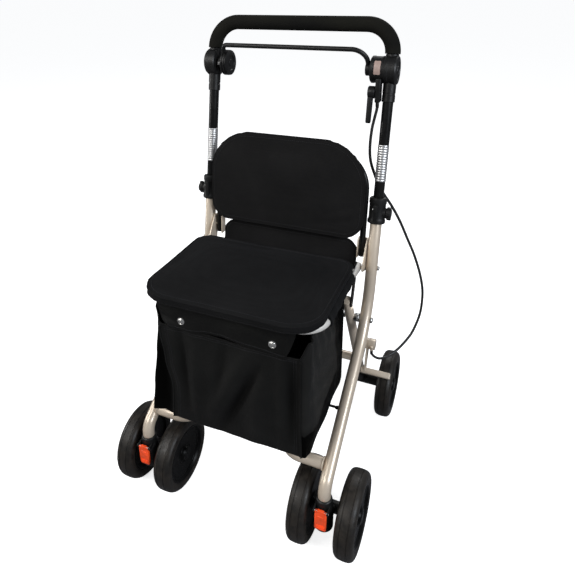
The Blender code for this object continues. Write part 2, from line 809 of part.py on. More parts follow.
def make_brake_bar(holder):
    """The bar under the handle, with its disc at one end and its pivot at the other."""
    y, z = post_y(HUB_Z), HUB_Z
    bar_joint = joint("brake_bar_axis", (0, y, z), holder)
    left_x = HOUSING_INNER_X - GAP - BAR_HUB_WIDTH / 2
    disc_high = -(NECK_INNER_X - GAP - DISC_WIDTH)
    disc_low = -(NECK_INNER_X - GAP)
    right_x = (disc_low + disc_high) / 2
    reach = Vector((0, -BAR_AHEAD, BAR_Z - z))
    right = Vector((right_x, y, z))
    left = Vector((left_x, y, z))
    corners = [right + reach * 0.4, right + reach, left + reach, left]
    path = bent(corners, [BAR_RIGHT_BEND_R, BAR_LEFT_BEND_R])
    bar = sweep("brake_bar", path, BAR_R, resolution=3)
    join(
        bar,
        rod("bar_disc", (disc_low, y, z), (disc_high, y, z), DISC_R, sides=24),
        rod("bar_disc_pin", (disc_low - PIN_DEPTH, y, z), (disc_low + 0.003, y, z), PIVOT_PIN_R),
        rod("bar_hub", (left_x - BAR_HUB_WIDTH / 2, y, z), (left_x + BAR_HUB_WIDTH / 2, y, z), BAR_HUB_R),
        rod("bar_hub_pin", (left_x, y, z), (HOUSING_INNER_X + PIN_DEPTH, y, z), PIVOT_PIN_R),
    )
    return adopt(bar, bar_joint, BLACK)


def make_parking_lever(holder):
    y = post_y(HUB_Z) - LEVER_AHEAD
    z = LEVER_Z
    lever_joint = joint("parking_lever_axis", (LUG_X, y, z), holder)
    high = LUG_X - GAP
    low = high - LEVER_WIDTH
    lever = rod("parking_lever", (low, y, z), (high, y, z), LEVER_HUB_R, sides=20)
    tip_y = y - BLADE_LENGTH * math.sin(BLADE_TILT)
    tip_z = z - BLADE_LENGTH * math.cos(BLADE_TILT)
    blade = hull([((y, z), BLADE_END_R), ((tip_y, tip_z), BLADE_TIP_R)])
    join(lever, plate("lever_blade", blade, low, low + BLADE_WIDTH))
    bore_r = clear(PIVOT_PIN_R, RUN_GAP)
    cut(lever, rod("lever_bore", (low + LEVER_CAP, y, z), (high + 0.002, y, z), bore_r))
    return adopt(lever, lever_joint, BLACK)


def make_wheel(tag, place, half_width, holder, bore_r, inboard):
    """A tyre and its hub. The bore is open on the inboard side, +1 or -1 along X."""
    shoulder = WHEEL_SHOULDER_R
    rings = 2
    outer = []
    for index in range(rings + 1):
        angle = math.pi / 2 * index / rings
        radius = WHEEL_R - shoulder * (1 - math.sin(angle))
        outer.append((radius, half_width - shoulder * (1 - math.cos(angle))))
    arc = [(TYRE_BORE_R, half_width)] + outer
    profile = arc + [(r, -a) for r, a in reversed(arc)]
    tyre = turned("tyre_" + tag, profile, place, closed=True)
    adopt(tyre, holder, TYRE)
    rim = TYRE_BORE_R - GAP
    face = half_width - 0.001
    dished = [(0.0, half_width), (HUB_CAP_R, half_width), (HUB_CAP_R + HUB_STEP, face - HUB_DISH),
              (rim - HUB_RIM, face - HUB_DISH), (rim, face)]
    hub_profile = dished + [(rim, -face), (0.0, -face)]
    if inboard > 0:
        hub_profile = [(r, -a) for r, a in reversed(hub_profile)]
    hub = turned("hub_" + tag, hub_profile, place)
    x, y, z = place
    start = x + inboard * (half_width + 0.002)
    end = x - inboard * (half_width - HUB_WEB)
    cut(hub, rod("hub_bore_" + tag, (start, y, z), (end, y, z), clear(bore_r, RUN_GAP)))
    return adopt(hub, holder, HUB)


def make_caster(side, tag):
    """A swivelling housing with its stem, axle, twin wheels and lock lever."""
    x = side * HALF_TRACK
    swivel = joint("caster_swivel_" + tag, (x, 0, TUBE_FOOT_Z))
    bottom = CASTER_BODY_BOTTOM_Z
    body = rod("caster_housing_" + tag, (x, 0, bottom), (x, 0, CASTER_CAP_Z), CASTER_BODY_R, sides=16)
    wheel_gap = CASTER_WHEEL_X - CASTER_HALF_WIDTH - RUN_GAP
    axle_z = WHEEL_R
    boss_ends = ((x - wheel_gap, CASTER_TRAIL, axle_z), (x + wheel_gap, CASTER_TRAIL, axle_z))
    join(
        body,
        rod("caster_cap_" + tag, (x, 0, CASTER_CAP_Z - OVER), (x, 0, TUBE_FOOT_Z - GAP),
            CASTER_BODY_R - CASTER_STEP, CASTER_CAP_R, sides=16),
        rod("caster_boss_" + tag, *boss_ends, CASTER_BOSS_R, sides=16),
        block("caster_arm_" + tag, (x - CASTER_ARM_HALF, CASTER_ARM_FRONT, bottom + 0.001),
              (x + CASTER_ARM_HALF, CASTER_TRAIL, axle_z + CASTER_BOSS_R - 0.0005)),
        rod("caster_stem_" + tag, (x, 0, CASTER_CAP_Z), (x, 0, TUBE_FOOT_Z + STEM_LENGTH), STEM_R),
        rod("caster_tip_" + tag, (x, 0, bottom - TIP_LENGTH), (x, 0, bottom + 0.003), TIP_R),
    )
    half = LOCK_WIDTH / 2
    pin_y = LOCK_PIN_Y
    pin_z = LOCK_TOP_Z - LOCK_THICKNESS / 2
    for ear in (-1, 1):
        inner = x + ear * (half + GAP)
        outer = x + ear * (half + GAP + LOCK_EAR)
        root = (-CASTER_BODY_R * 0.5, pin_z)
        shape = hull([((pin_y, pin_z), LOCK_EAR_TIP_R), (root, LOCK_EAR_ROOT_R)], 12)
        join(body, plate("lock_ear_%s_%d" % (tag, ear + 1), shape, min(inner, outer), max(inner, outer)))
    join(body, rod("lock_pin_" + tag, (x - half - 0.002, pin_y, pin_z), (x + half + 0.002, pin_y, pin_z),
                   LOCK_PIN_R))
    bore = clear(CASTER_AXLE_R)
    cut(body, rod("caster_axle_hole_" + tag, (x - wheel_gap - 0.002, CASTER_TRAIL, axle_z),
                  (x + wheel_gap + 0.002, CASTER_TRAIL, axle_z), bore))
    adopt(body, swivel, BLACK)
    reach = CASTER_WHEEL_X + CASTER_HALF_WIDTH - HUB_WEB - RUN_GAP
    axle = rod("caster_axle_" + tag, (x - reach, CASTER_TRAIL, axle_z), (x + reach, CASTER_TRAIL, axle_z),
               CASTER_AXLE_R)
    adopt(axle, swivel, STEEL)
    for name, wheel_side in (("outer", side), ("inner", -side)):
        wheel_x = x + wheel_side * CASTER_WHEEL_X
        place = Vector((wheel_x, CASTER_TRAIL, axle_z))
        spin = joint("caster_wheel_axis_%s_%s" % (name, tag), place, swivel)
        make_wheel("%s_%s" % (name, tag), place, CASTER_HALF_WIDTH, spin, CASTER_AXLE_R, -wheel_side)
    flip = joint("lock_lever_axis_" + tag, (x, pin_y, pin_z), swivel)
    round_end = LOCK_THICKNESS / 2
    low_z = LOCK_TOP_Z - LOCK_LENGTH + round_end
    shape = hull([((pin_y, pin_z), round_end), ((pin_y, low_z), round_end)])
    lever = plate("lock_lever_" + tag, shape, x - half, x + half)
    cut(lever, rod("lock_bore_" + tag, (x - half - 0.002, pin_y, pin_z), (x + half + 0.002, pin_y, pin_z),
                   clear(LOCK_PIN_R)))
    adopt(lever, flip, ORANGE)


def make_cross_bolt(side, tag):
    """The bolt on which a rear leg turns, with its spacer between the leg and the main tube."""
    y = cross_y()
    inner = LEG_X - LEG_R - GAP
    spacer_low = LEG_X + LEG_R + GAP
    spacer_high = HALF_TRACK - TUBE_R - GAP
    outer = HALF_TRACK + TUBE_R + GAP

    def at(x):
        return (side * x, y, CROSS_Z)

    bolt = rod("cross_bolt_" + tag, at(inner - 0.002), at(outer + 0.002), CROSS_BOLT_R)
    join(
        bolt,
        rod("cross_spacer_" + tag, at(spacer_low), at(spacer_high), LEG_R * 0.9),
        rod("cross_head_" + tag, at(outer), at(outer + BOLT_HEAD), BOLT_HEAD_R, BOLT_HEAD_R * 0.7),
        rod("cross_nut_" + tag, at(inner - BOLT_HEAD), at(inner), BOLT_HEAD_R * 0.7, BOLT_HEAD_R),
    )
    return adopt(bolt, ROOT, STEEL)


def make_rear_leg(side, tag, holder):
    x = side * LEG_X

    def at(along, offset=0.0):
        return Vector((x + side * offset, 0, 0)) + leg_point(along)

    foot = LEG_FOOT - (Vector((0, REAR_AXLE_Y, WHEEL_R)) - leg_point(0)).length
    leg = pipe("rear_leg_" + tag, [at(foot), at(LEG_TOP)], LEG_R, LEG_WALL)
    notch_x = LINK_X - GAP - LEG_X
    low = on_side(side, (LEG_X + notch_x, 0, 0)) + leg_point(LEG_TOP - LEG_NOTCH)
    reach = LEG_NOTCH + LEG_R
    outer = low.x + side * LEG_R
    notch_low = (min(low.x, outer), low.y - reach, low.z)
    notch_high = (max(low.x, outer), low.y + reach, low.z + reach)
    pin = leg_point(LINK_PIN_ALONG)
    through = LEG_R + 0.005
    cut(
        leg,
        block("leg_notch_" + tag, notch_low, notch_high),
        rod("leg_cross_hole_" + tag, at(0, -through), at(0, through), clear(CROSS_BOLT_R, RUN_GAP)),
        rod("leg_link_hole_" + tag, (x - through, pin.y, pin.z), (x + through, pin.y, pin.z),
            clear(LINK_PIN_R, RUN_GAP)),
    )
    return adopt(leg, holder, BEIGE)


def make_axle_boss(side, tag, holder):
    y, z = REAR_AXLE_Y, WHEEL_R

    def at(x):
        return (side * x, y, z)

    boss = rod("axle_boss_" + tag, at(BOSS_INNER_X), at(BOSS_OUTER_X), BOSS_R, sides=20)
    length = (Vector((0, y, z)) - leg_point(0)).length
    base = Vector((side * LEG_X, 0, 0))
    socket_top = base + leg_point(SOCKET_LENGTH - length)
    socket = rod("leg_socket_" + tag, base + leg_point(-length), socket_top, SOCKET_R)
    stub_end = REAR_WHEEL_X + REAR_HALF_WIDTH - HUB_WEB - RUN_GAP
    join(boss, socket, rod("stub_axle_" + tag, at(BOSS_OUTER_X - 0.004), at(stub_end), REAR_AXLE_R))
    cut(boss, rod("leg_seat_" + tag, base + leg_point(LEG_FOOT - length - GAP),
                  base + leg_point(SOCKET_LENGTH - length + 0.004), clear(LEG_R)))
    return adopt(boss, holder, BLACK)


def make_rear_cross_tube(holder):
    spot = leg_point(leg_at_height(REAR_TUBE_Z))
    end = LEG_X - LEG_R - GAP
    tube = pipe("rear_cross_tube", [Vector((-end, spot.y, spot.z)), Vector((end, spot.y, spot.z))],
                LEG_R, LEG_WALL)
    return adopt(tube, holder, BEIGE)


def make_brake_bracket(side, tag, holder):
    """The plate on a leg's outer side, with the boss that the brake arm turns on."""
    inner = LEG_X + LEG_R + GAP
    low = leg_point(leg_at_height(BRACKET_LOW_Z))
    high = leg_point(leg_at_height(BRACKET_HIGH_Z))
    shape = hull([((low.y, low.z), BRACKET_LOW_R), ((high.y, high.z), BRACKET_HIGH_R),
                  ((BRAKE_Y, BRAKE_Z), BRAKE_BOSS_R + BRACKET_RIM)])
    ends = sorted((side * inner, side * (inner + BRACKET_T)))
    bracket = plate("brake_bracket_" + tag, shape, *ends)

    def at(x):
        return (side * x, BRAKE_Y, BRAKE_Z)

    neck_low = ARM_X - GAP
    neck_high = ARM_X + ARM_T + GAP
    join(
        bracket,
        rod("boss_inner_" + tag, at(inner + 0.001), at(neck_low), BRAKE_BOSS_R, sides=20),
        rod("boss_neck_" + tag, at(neck_low - 0.001), at(neck_high + 0.001), BRAKE_NECK_R),
        rod("boss_outer_" + tag, at(neck_high), at(BRAKE_BOSS_X), BRAKE_BOSS_R, sides=20),
    )
    if side > 0:
        before, end = smooth_route(CABLE_ROUTE, CABLE_POINTS)[-2:]
        ahead = (end - before).normalized()
        join(bracket, rod("cable_stop", end + ahead * GAP, end + ahead * CABLE_STOP_LENGTH, CABLE_STOP_R))
    return adopt(bracket, holder, BEIGE)


def make_brake_arm(side, tag, holder):
    arm_joint = joint("brake_arm_axis_" + tag, (side * ARM_X, BRAKE_Y, BRAKE_Z), holder)
    ends = sorted((side * ARM_X, side * (ARM_X + ARM_T)))
    shape = hull([((BRAKE_Y, BRAKE_Z), BRAKE_BOSS_R - 0.001), ((SHOE_Y, SHOE_Z), ARM_END_R)])
    arm = plate("brake_arm_" + tag, shape, *ends)
    cut(arm, rod("arm_bore_" + tag, (ends[0] - 0.002, BRAKE_Y, BRAKE_Z), (ends[1] + 0.002, BRAKE_Y, BRAKE_Z),
                 clear(BRAKE_NECK_R, RUN_GAP)))
    low, high = sorted((side * SHOE_INNER_X, side * SHOE_OUTER_X))
    bar = block("shoe_bar_" + tag, (low, -SHOE_DEPTH / 2, -SHOE_HEIGHT / 2),
                (high, SHOE_DEPTH / 2, SHOE_HEIGHT / 2), SHOE_EDGE_R)
    facing = math.atan2(SHOE_Z - WHEEL_R, SHOE_Y - REAR_AXLE_Y)
    bar.data.transform(Matrix.Translation((0, SHOE_Y, SHOE_Z)) @ Matrix.Rotation(facing, 4, "X"))
    join(arm, bar)
    return adopt(arm, arm_joint, BEIGE)


def make_fold_link(side, tag, holder):
    """The black link from a leg's top to the seat's bracket."""
    low = leg_point(LINK_PIN_ALONG)
    link_joint = joint("fold_link_axis_" + tag, (side * LINK_X, low.y, low.z), holder)
    ends = sorted((side * LINK_X, side * (LINK_X + LINK_T)))
    shape = hull([((low.y, low.z), LINK_EYE_R), ((LINK_TOP_Y, LINK_TOP_Z), LINK_EYE_R)])
    link = plate("fold_link_" + tag, shape, *ends)
    join(link, rod("link_pin_" + tag, (side * (LEG_X - LEG_R), low.y, low.z),
                   (side * (LINK_X + 0.001), low.y, low.z), LINK_PIN_R))
    cut(link, rod("link_eye_" + tag, (ends[0] - 0.002, LINK_TOP_Y, LINK_TOP_Z),
                  (ends[1] + 0.002, LINK_TOP_Y, LINK_TOP_Z), clear(LINK_PIN_R, LINK_PLAY)))
    return adopt(link, link_joint, BLACK_STEEL)


def make_hinge_plate(side, tag):
    """The plate on a main tube's inner side that carries the seat's pivot and the backrest's foot."""
    outer = HALF_TRACK - TUBE_R - GAP
    inner = outer - PLATE_T
    bolt = (post_y(HINGE_BOLT_Z), HINGE_BOLT_Z)
    shape = hull([((SEAT_PIVOT_Y, SEAT_PIVOT_Z), HINGE_R), (bolt, HINGE_R),
                  ((back_y(HINGE_TOP_Z), HINGE_TOP_Z), HINGE_R)])
    body = plate("hinge_plate_" + tag, shape, *sorted((side * inner, side * outer)))
    flange_outer = BACK_X - BACK_TUBE_R - GAP
    web = BACK_TUBE_R + GAP
    for label, x_low, x_high, ahead in (
        ("web", flange_outer - PLATE_T, outer, web),
        ("flange", flange_outer - PLATE_T, flange_outer, -BACK_TUBE_R),
    ):
        outline = [
            (back_y(CHANNEL_BOTTOM_Z) + ahead, CHANNEL_BOTTOM_Z),
            (back_y(CHANNEL_BOTTOM_Z) + web + PLATE_T, CHANNEL_BOTTOM_Z),
            (back_y(CHANNEL_TOP_Z) + web + PLATE_T, CHANNEL_TOP_Z),
            (back_y(CHANNEL_TOP_Z) + ahead, CHANNEL_TOP_Z),
        ]
        join(body, plate("hinge_%s_%s" % (label, tag), outline, *sorted((side * x_low, side * x_high))))

    def bar(label, y, z, x_low, x_high, radius, end_radius=None):
        ends = ((side * x_low, y, z), (side * x_high, y, z))
        return rod("hinge_%s_%s" % (label, tag), *ends, radius, end_radius)

    head = HALF_TRACK + TUBE_R + GAP
    pin_end = LINK_X + LINK_T + GAP
    join(
        body,
        bar("seat_pin", SEAT_PIVOT_Y, SEAT_PIVOT_Z, pin_end, inner + 0.001, LINK_PIN_R),
        bar("bolt", *bolt, inner + 0.001, head + 0.001, HINGE_BOLT_R),
        bar("bolt_head", *bolt, head, head + BOLT_HEAD, BOLT_HEAD_R * 0.8, BOLT_HEAD_R * 0.5),
        bar("back_pin", back_y(BACK_PIN_Z), BACK_PIN_Z, flange_outer - 0.001, inner + 0.001, BACK_PIN_R),
    )
    return adopt(body, ROOT, BEIGE)


def make_seat_frame(holder):
    """The U tube under the cushion, with a pivot plate at each rear end."""
    x = SEAT_TUBE_X
    z = SEAT_TUBE_Z
    path = bent(
        [(-x, SEAT_ARM_END_Y, z), (-x, SEAT_FRONT_Y, z), (x, SEAT_FRONT_Y, z), (x, SEAT_ARM_END_Y, z)],
        [SEAT_BEND_R] * 2,
    )
    frame = pipe("seat_frame", path, SEAT_TUBE_R, SEAT_TUBE_WALL)
    plate_low = LINK_X + LINK_T + GAP * 2
    for side, tag in SIDES_OF_FRAME:
        ends = sorted((side * plate_low, side * (plate_low + SEAT_PLATE_T)))
        shape = hull([((SEAT_PLATE_FRONT_Y, z), SEAT_PLATE_R), ((SEAT_ARM_END_Y, z), SEAT_PLATE_R),
                      ((LINK_TOP_Y, LINK_TOP_Z), LINK_EYE_R), ((SEAT_PIVOT_Y, SEAT_PIVOT_Z), LINK_EYE_R)])
        ear = plate("seat_ear_" + tag, shape, *ends)
        join(frame, ear)
        pin_low = LINK_X - GAP
        join(frame, rod("seat_link_pin_" + tag, (side * pin_low, LINK_TOP_Y, LINK_TOP_Z),
                        (side * (plate_low + 0.001), LINK_TOP_Y, LINK_TOP_Z), LINK_PIN_R))
        cut(frame, rod("seat_pivot_hole_" + tag, (side * (plate_low - 0.002), SEAT_PIVOT_Y, SEAT_PIVOT_Z),
                       (side * (plate_low + SEAT_PLATE_T + 0.002), SEAT_PIVOT_Y, SEAT_PIVOT_Z),
                       clear(LINK_PIN_R, RUN_GAP)))
    return adopt(frame, holder, BEIGE)


def make_seat_cushion(holder):
    half_y = (CUSHION_BACK_Y - CUSHION_FRONT_Y) / 2
    pad = cushion("seat_cushion", CUSHION_HALF, half_y, CUSHION_CORNER_R, CUSHION_CORNER_R, CUSHION_EDGE,
                  CUSHION_CROWN)
    middle = (CUSHION_BACK_Y + CUSHION_FRONT_Y) / 2
    pad.data.transform(Matrix.Translation((0, middle, SEAT_TUBE_Z + SEAT_TUBE_R + GAP)))
    return adopt(pad, holder, SEAT_FABRIC)


def make_backrest_frame():
    top = back_y(BACK_TOP)
    x = BACK_X
    corners = [(-x, back_y(BACK_FOOT_Z), BACK_FOOT_Z), (-x, top, BACK_TOP), (x, top, BACK_TOP),
               (x, back_y(BACK_FOOT_Z), BACK_FOOT_Z)]
    frame = pipe("backrest_frame", bent(corners, [BACK_TUBE_BEND_R] * 2), BACK_TUBE_R, BACK_TUBE_WALL)
    for side, tag in SIDES_OF_FRAME:
        y = back_y(BACK_PIN_Z)
        cut(frame, rod("back_pin_hole_" + tag, (side * (x - 0.01), y, BACK_PIN_Z),
                       (side * (x + 0.01), y, BACK_PIN_Z), clear(BACK_PIN_R)))
    return adopt(frame, ROOT, BLACK_STEEL)


def make_backrest_pad():
    half_y = (PAD_TOP_Z - PAD_BOTTOM_Z) / 2 / math.cos(BACK_LEAN)
    pad = cushion("backrest_pad", PAD_HALF, half_y, PAD_LOW_CORNER_R, PAD_TOP_CORNER_R, PAD_EDGE, PAD_CROWN)
    middle = (PAD_TOP_Z + PAD_BOTTOM_Z) / 2
    ahead = (BACK_TUBE_R + GAP) / math.cos(BACK_LEAN)
    stand = Matrix.Translation((0, back_y(middle) - ahead, middle)) @ Matrix.Rotation(
        math.radians(90) - BACK_LEAN, 4, "X")
    pad.data.transform(stand)
    return adopt(pad, ROOT, BACK_FABRIC)


def make_rear_panel():
    low = post_y(PANEL_BOTTOM_Z) + PANEL_BEHIND
    high = post_y(PANEL_TOP_Z) + PANEL_BEHIND
    outline = [(low, PANEL_BOTTOM_Z), (low + PANEL_T, PANEL_BOTTOM_Z), (high + PANEL_T, PANEL_TOP_Z),
               (high, PANEL_TOP_Z)]
    return adopt(plate("rear_panel", outline, -PANEL_HALF, PANEL_HALF), ROOT, BACK_FABRIC)


def bag_front_y(z):
    slope = (BAG_FRONT_HIGH_Y - BAG_FRONT_LOW_Y) / (BAG_TOP_Z - BAG_BOTTOM_Z)
    return BAG_FRONT_LOW_Y + (z - BAG_BOTTOM_Z) * slope


def make_bag():
    """An open-topped bag whose front leans back, narrowed behind where the legs pass."""
    def shell(name, inset, bottom, top):
        bm = bmesh.new()
        rings = []
        for z in (bottom, top):
            front = bag_front_y(z) + inset
            half = BAG_HALF - inset
            rear = BAG_REAR_HALF - inset
            ring = [
                (-half, front), (half, front), (half, BAG_NARROW_Y - inset), (rear, BAG_NARROW_Y - inset),
                (rear, BAG_BACK_Y - inset), (-rear, BAG_BACK_Y - inset), (-rear, BAG_NARROW_Y - inset),
                (-half, BAG_NARROW_Y - inset),
            ]
            rings.append([bm.verts.new((x, y, z)) for x, y in ring])
        low, high = rings
        bm.faces.new(low)
        bm.faces.new(high)
        for index in range(len(low)):
            after = (index + 1) % len(low)
            bm.faces.new((low[index], low[after], high[after], high[index]))
        return mesh_object(name, bm)

    bag = shell("bag", 0.0, BAG_BOTTOM_Z, BAG_TOP_Z)
    cut(bag, shell("bag_inside", BAG_WALL, BAG_BOTTOM_Z + BAG_WALL, BAG_TOP_Z + 0.01))
    strap_low = BAG_BOTTOM_Z + 0.0005
    strap_y = path_y(main_tube_path(1), strap_low + STRAP_T / 2)
    reach = HALF_TRACK - TUBE_R - GAP
    for side, tag in SIDES_OF_FRAME:
        low = (side * (BAG_HALF - 0.001), strap_y - STRAP_WIDTH / 2, strap_low)
        high = (side * reach, strap_y + STRAP_WIDTH / 2, strap_low + STRAP_T)
        join(bag, block("bag_strap_" + tag, low, high))
    return adopt(bag, ROOT, BAG_FABRIC, smooth=False)


def make_bag_flap():
    def face(z, ahead):
        return (bag_front_y(z) - GAP - ahead, z)

    outline = [face(FLAP_BOTTOM_Z, FLAP_T), face(FLAP_BOTTOM_Z, 0), face(FLAP_TOP_Z, 0),
               face(FLAP_TOP_Z, FLAP_T)]
    return adopt(plate("bag_flap", outline, -FLAP_HALF, FLAP_HALF), ROOT, BAG_FABRIC, smooth=False)


def make_brake_cable():
    route = smooth_route(CABLE_ROUTE, CABLE_POINTS)
    return adopt(sweep("brake_cable", route, CABLE_R, resolution=2), ROOT, CABLE)


# Radii that follow from the ones above
TUBE_R = clear(HANDLE_R) + TUBE_WALL
BAND_SEAT_R = (HANDLE_R - BAND_WALL) * math.cos(math.pi / SIDES) - GAP
LOCK_PIN_Y = -(CASTER_BODY_R + GAP + LOCK_THICKNESS / 2)
SIDES_OF_FRAME = ((1, "left"), (-1, "right"))

for old in list(bpy.data.objects):
    bpy.data.objects.remove(old, do_unlink=True)
PARTS = bpy.data.collections.new("shopping_rollator")
CUTTERS = bpy.data.collections.new("cutters")
bpy.context.scene.collection.children.link(PARTS)
bpy.context.scene.collection.children.link(CUTTERS)
ROOT = bpy.data.objects.new("rollator", None)
PARTS.objects.link(ROOT)

BEIGE = material("beige_paint", (0.60, 0.50, 0.38), 0.55, 0.35)
SILVER = material("silver_band", (0.75, 0.75, 0.74), 0.85, 0.35)
STEEL = material("steel", (0.55, 0.55, 0.55), 1.0, 0.35)
BLACK = material("black_plastic", (0.018, 0.018, 0.017), 0.0, 0.40)
BLACK_TUBE = material("black_paint", (0.015, 0.015, 0.015), 0.3, 0.35)
BLACK_STEEL = material("black_steel", (0.02, 0.02, 0.02), 0.4, 0.40)
FOAM = material("black_foam", (0.012, 0.012, 0.012), 0.0, 0.85)
TYRE = material("tyre_rubber", (0.020, 0.019, 0.018), 0.0, 0.55)
HUB = material("hub_plastic", (0.010, 0.010, 0.010), 0.0, 0.35)
ORANGE = material("orange_plastic", (0.86, 0.12, 0.03), 0.0, 0.35)
SEAT_FABRIC = material("seat_fabric", (0.013, 0.013, 0.015), 0.0, 0.90)
BACK_FABRIC = material("back_fabric", (0.016, 0.016, 0.016), 0.0, 0.90)
BAG_FABRIC = material("bag_fabric", (0.010, 0.010, 0.011), 0.0, 0.85)
CABLE = material("cable_sheath", (0.03, 0.03, 0.03), 0.0, 0.40)

make_front_cross_tube()
make_bag()
make_bag_flap()
make_backrest_frame()
make_backrest_pad()
make_rear_panel()
make_brake_cable()

handle_slide = joint("handle_slide", post_point(0, COLLAR_TOP_Z))
make_handle_tube(handle_slide)
make_handle_foam(handle_slide)
make_hub(1, "left", handle_slide, HOUSING_INNER_X, HOUSING_R)
make_hub(-1, "right", handle_slide, NECK_INNER_X, NECK_R)
make_brake_bar(handle_slide)
make_parking_lever(handle_slide)

rear_fold = joint("rear_fold", (0, cross_y(), CROSS_Z))
seat_lift = joint("seat_lift", (0, SEAT_PIVOT_Y, SEAT_PIVOT_Z))
make_rear_cross_tube(rear_fold)
make_seat_frame(seat_lift)
make_seat_cushion(seat_lift)

for frame_side, frame_tag in SIDES_OF_FRAME:
    make_main_tube(frame_side, frame_tag)
    make_stem_bushing(frame_side, frame_tag)
    make_height_collar(frame_side, frame_tag)
    make_collar_knob(frame_side, frame_tag)
    make_height_band(frame_side, frame_tag, handle_slide)
    make_hinge_plate(frame_side, frame_tag)
    make_cross_bolt(frame_side, frame_tag)
    make_caster(frame_side, frame_tag)
    make_rear_leg(frame_side, frame_tag, rear_fold)
    make_axle_boss(frame_side, frame_tag, rear_fold)
    make_brake_bracket(frame_side, frame_tag, rear_fold)
    make_brake_arm(frame_side, frame_tag, rear_fold)
    make_fold_link(frame_side, frame_tag, rear_fold)
    wheel_place = Vector((frame_side * REAR_WHEEL_X, REAR_AXLE_Y, WHEEL_R))
    rear_spin = joint("rear_wheel_axis_" + frame_tag, wheel_place, rear_fold)
    make_wheel("rear_" + frame_tag, wheel_place, REAR_HALF_WIDTH, rear_spin, REAR_AXLE_R, -frame_side)

ROOT.location = (CENTRE_X, STEM_Y, 0.0)
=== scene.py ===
# %% [markdown]
# A shopping rollator is a light walking frame with a seat and a bag. Two bent tubes run from the front
# wheels up to the handle, two straight legs cross them, and the soft parts hang between. This notebook
# dresses the measured model of one. It starts with that model, because every piece has to sit where the
# model says. Typing the places again would work too, but it would drift from the model with time.

# %% The measured model
import math

import bpy
from mathutils import Matrix, Vector
from mathutils.bvhtree import BVHTree


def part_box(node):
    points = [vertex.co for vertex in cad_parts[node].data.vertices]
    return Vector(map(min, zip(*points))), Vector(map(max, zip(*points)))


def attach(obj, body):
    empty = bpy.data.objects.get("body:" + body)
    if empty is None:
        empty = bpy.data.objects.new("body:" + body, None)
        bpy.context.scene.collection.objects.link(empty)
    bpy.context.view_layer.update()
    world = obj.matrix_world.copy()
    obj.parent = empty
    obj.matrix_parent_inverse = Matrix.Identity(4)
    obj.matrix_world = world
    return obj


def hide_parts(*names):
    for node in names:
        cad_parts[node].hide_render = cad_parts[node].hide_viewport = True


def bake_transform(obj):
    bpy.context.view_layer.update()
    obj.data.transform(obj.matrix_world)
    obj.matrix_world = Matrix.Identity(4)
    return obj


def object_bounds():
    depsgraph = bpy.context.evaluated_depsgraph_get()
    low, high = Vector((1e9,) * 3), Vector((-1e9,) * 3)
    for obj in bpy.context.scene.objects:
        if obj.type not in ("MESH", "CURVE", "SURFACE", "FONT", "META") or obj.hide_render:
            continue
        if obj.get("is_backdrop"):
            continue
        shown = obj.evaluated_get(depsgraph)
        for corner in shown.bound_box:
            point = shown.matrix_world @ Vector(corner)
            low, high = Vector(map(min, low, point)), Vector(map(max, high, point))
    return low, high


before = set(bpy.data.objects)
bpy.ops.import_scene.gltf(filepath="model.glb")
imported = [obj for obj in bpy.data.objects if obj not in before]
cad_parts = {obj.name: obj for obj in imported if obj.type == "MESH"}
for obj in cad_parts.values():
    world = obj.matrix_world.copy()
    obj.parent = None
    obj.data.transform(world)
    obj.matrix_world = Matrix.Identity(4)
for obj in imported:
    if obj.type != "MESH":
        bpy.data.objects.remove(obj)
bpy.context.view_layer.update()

# %% [markdown]
# The sizes below count from the middle of the front wheels' stems, at ground level. That is how such a
# frame is set out in a workshop, so each number stays easy to read. Two measured pieces give the shift
# from there to the model's own zero. Working in the model's own numbers would need no shift, but then
# the left and right sides would no longer mirror each other.

# %% Where the workshop's zero is
def middle_of(node):
    low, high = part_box(node)
    return (low + high) / 2


CENTRE_X = middle_of("front_cross_tube").x
STEM_Y = middle_of("stem_bushing_left").y
SIDES = ((1, "left"), (-1, "right"))


def at(x, y, z):
    """A workshop place, in the model's own frame."""
    return Vector((x + CENTRE_X, y + STEM_Y, z))


print("centre plane at x", round(CENTRE_X, 4), "wheel stems at y", round(STEM_Y, 4))

# %% [markdown]
# The camera comes first, because every later choice is judged through it. It looks down from the front
# and from the user's left at about the height of the handle. Its place was worked out from known points
# of the frame, such as tube ends and axles. Moving it by eye until things line up is the other way, and
# it never gets all the points right at once.

# %% Camera
def aim_camera(place, yaw, pitch, roll):
    """A camera at place. Yaw turns it from +Y towards +X, pitch tips it down and roll tilts it."""
    ahead = Vector((math.sin(yaw) * math.cos(pitch), math.cos(yaw) * math.cos(pitch), -math.sin(pitch)))
    level = Vector((math.cos(yaw), -math.sin(yaw), 0.0))
    upward = level.cross(ahead)
    right = level * math.cos(roll) + upward * math.sin(roll)
    top = upward * math.cos(roll) - level * math.sin(roll)
    turn = Matrix((right, top, -ahead)).transposed()
    bpy.ops.object.camera_add(location=place, rotation=turn.to_euler())
    return bpy.context.object


camera = aim_camera(at(0.366, -0.626, 0.968), math.radians(-23.31), math.radians(22.21), math.radians(-1.1))
camera.data.sensor_fit = "HORIZONTAL"
camera.data.sensor_width = 36.0
camera.data.lens = 33.36
camera.data.shift_x = 0.024
camera.data.shift_y = -0.1654
bpy.context.scene.camera = camera
bpy.context.scene.view_settings.view_transform = "Standard"
print("camera", [round(v, 3) for v in camera.location], "lens", camera.data.lens)

# %% [markdown]
# A studio sweep is a white floor that runs into a white wall. Here the world is white to the camera only,
# and dimmer for the rays that light the pieces or mirror in them, so that black pieces stay black. The
# floor is a wide disc that still takes the soft shadow of the wheels. Turning the lamps up until the
# floor burns out would whiten it too, and would also wash out the cloth.

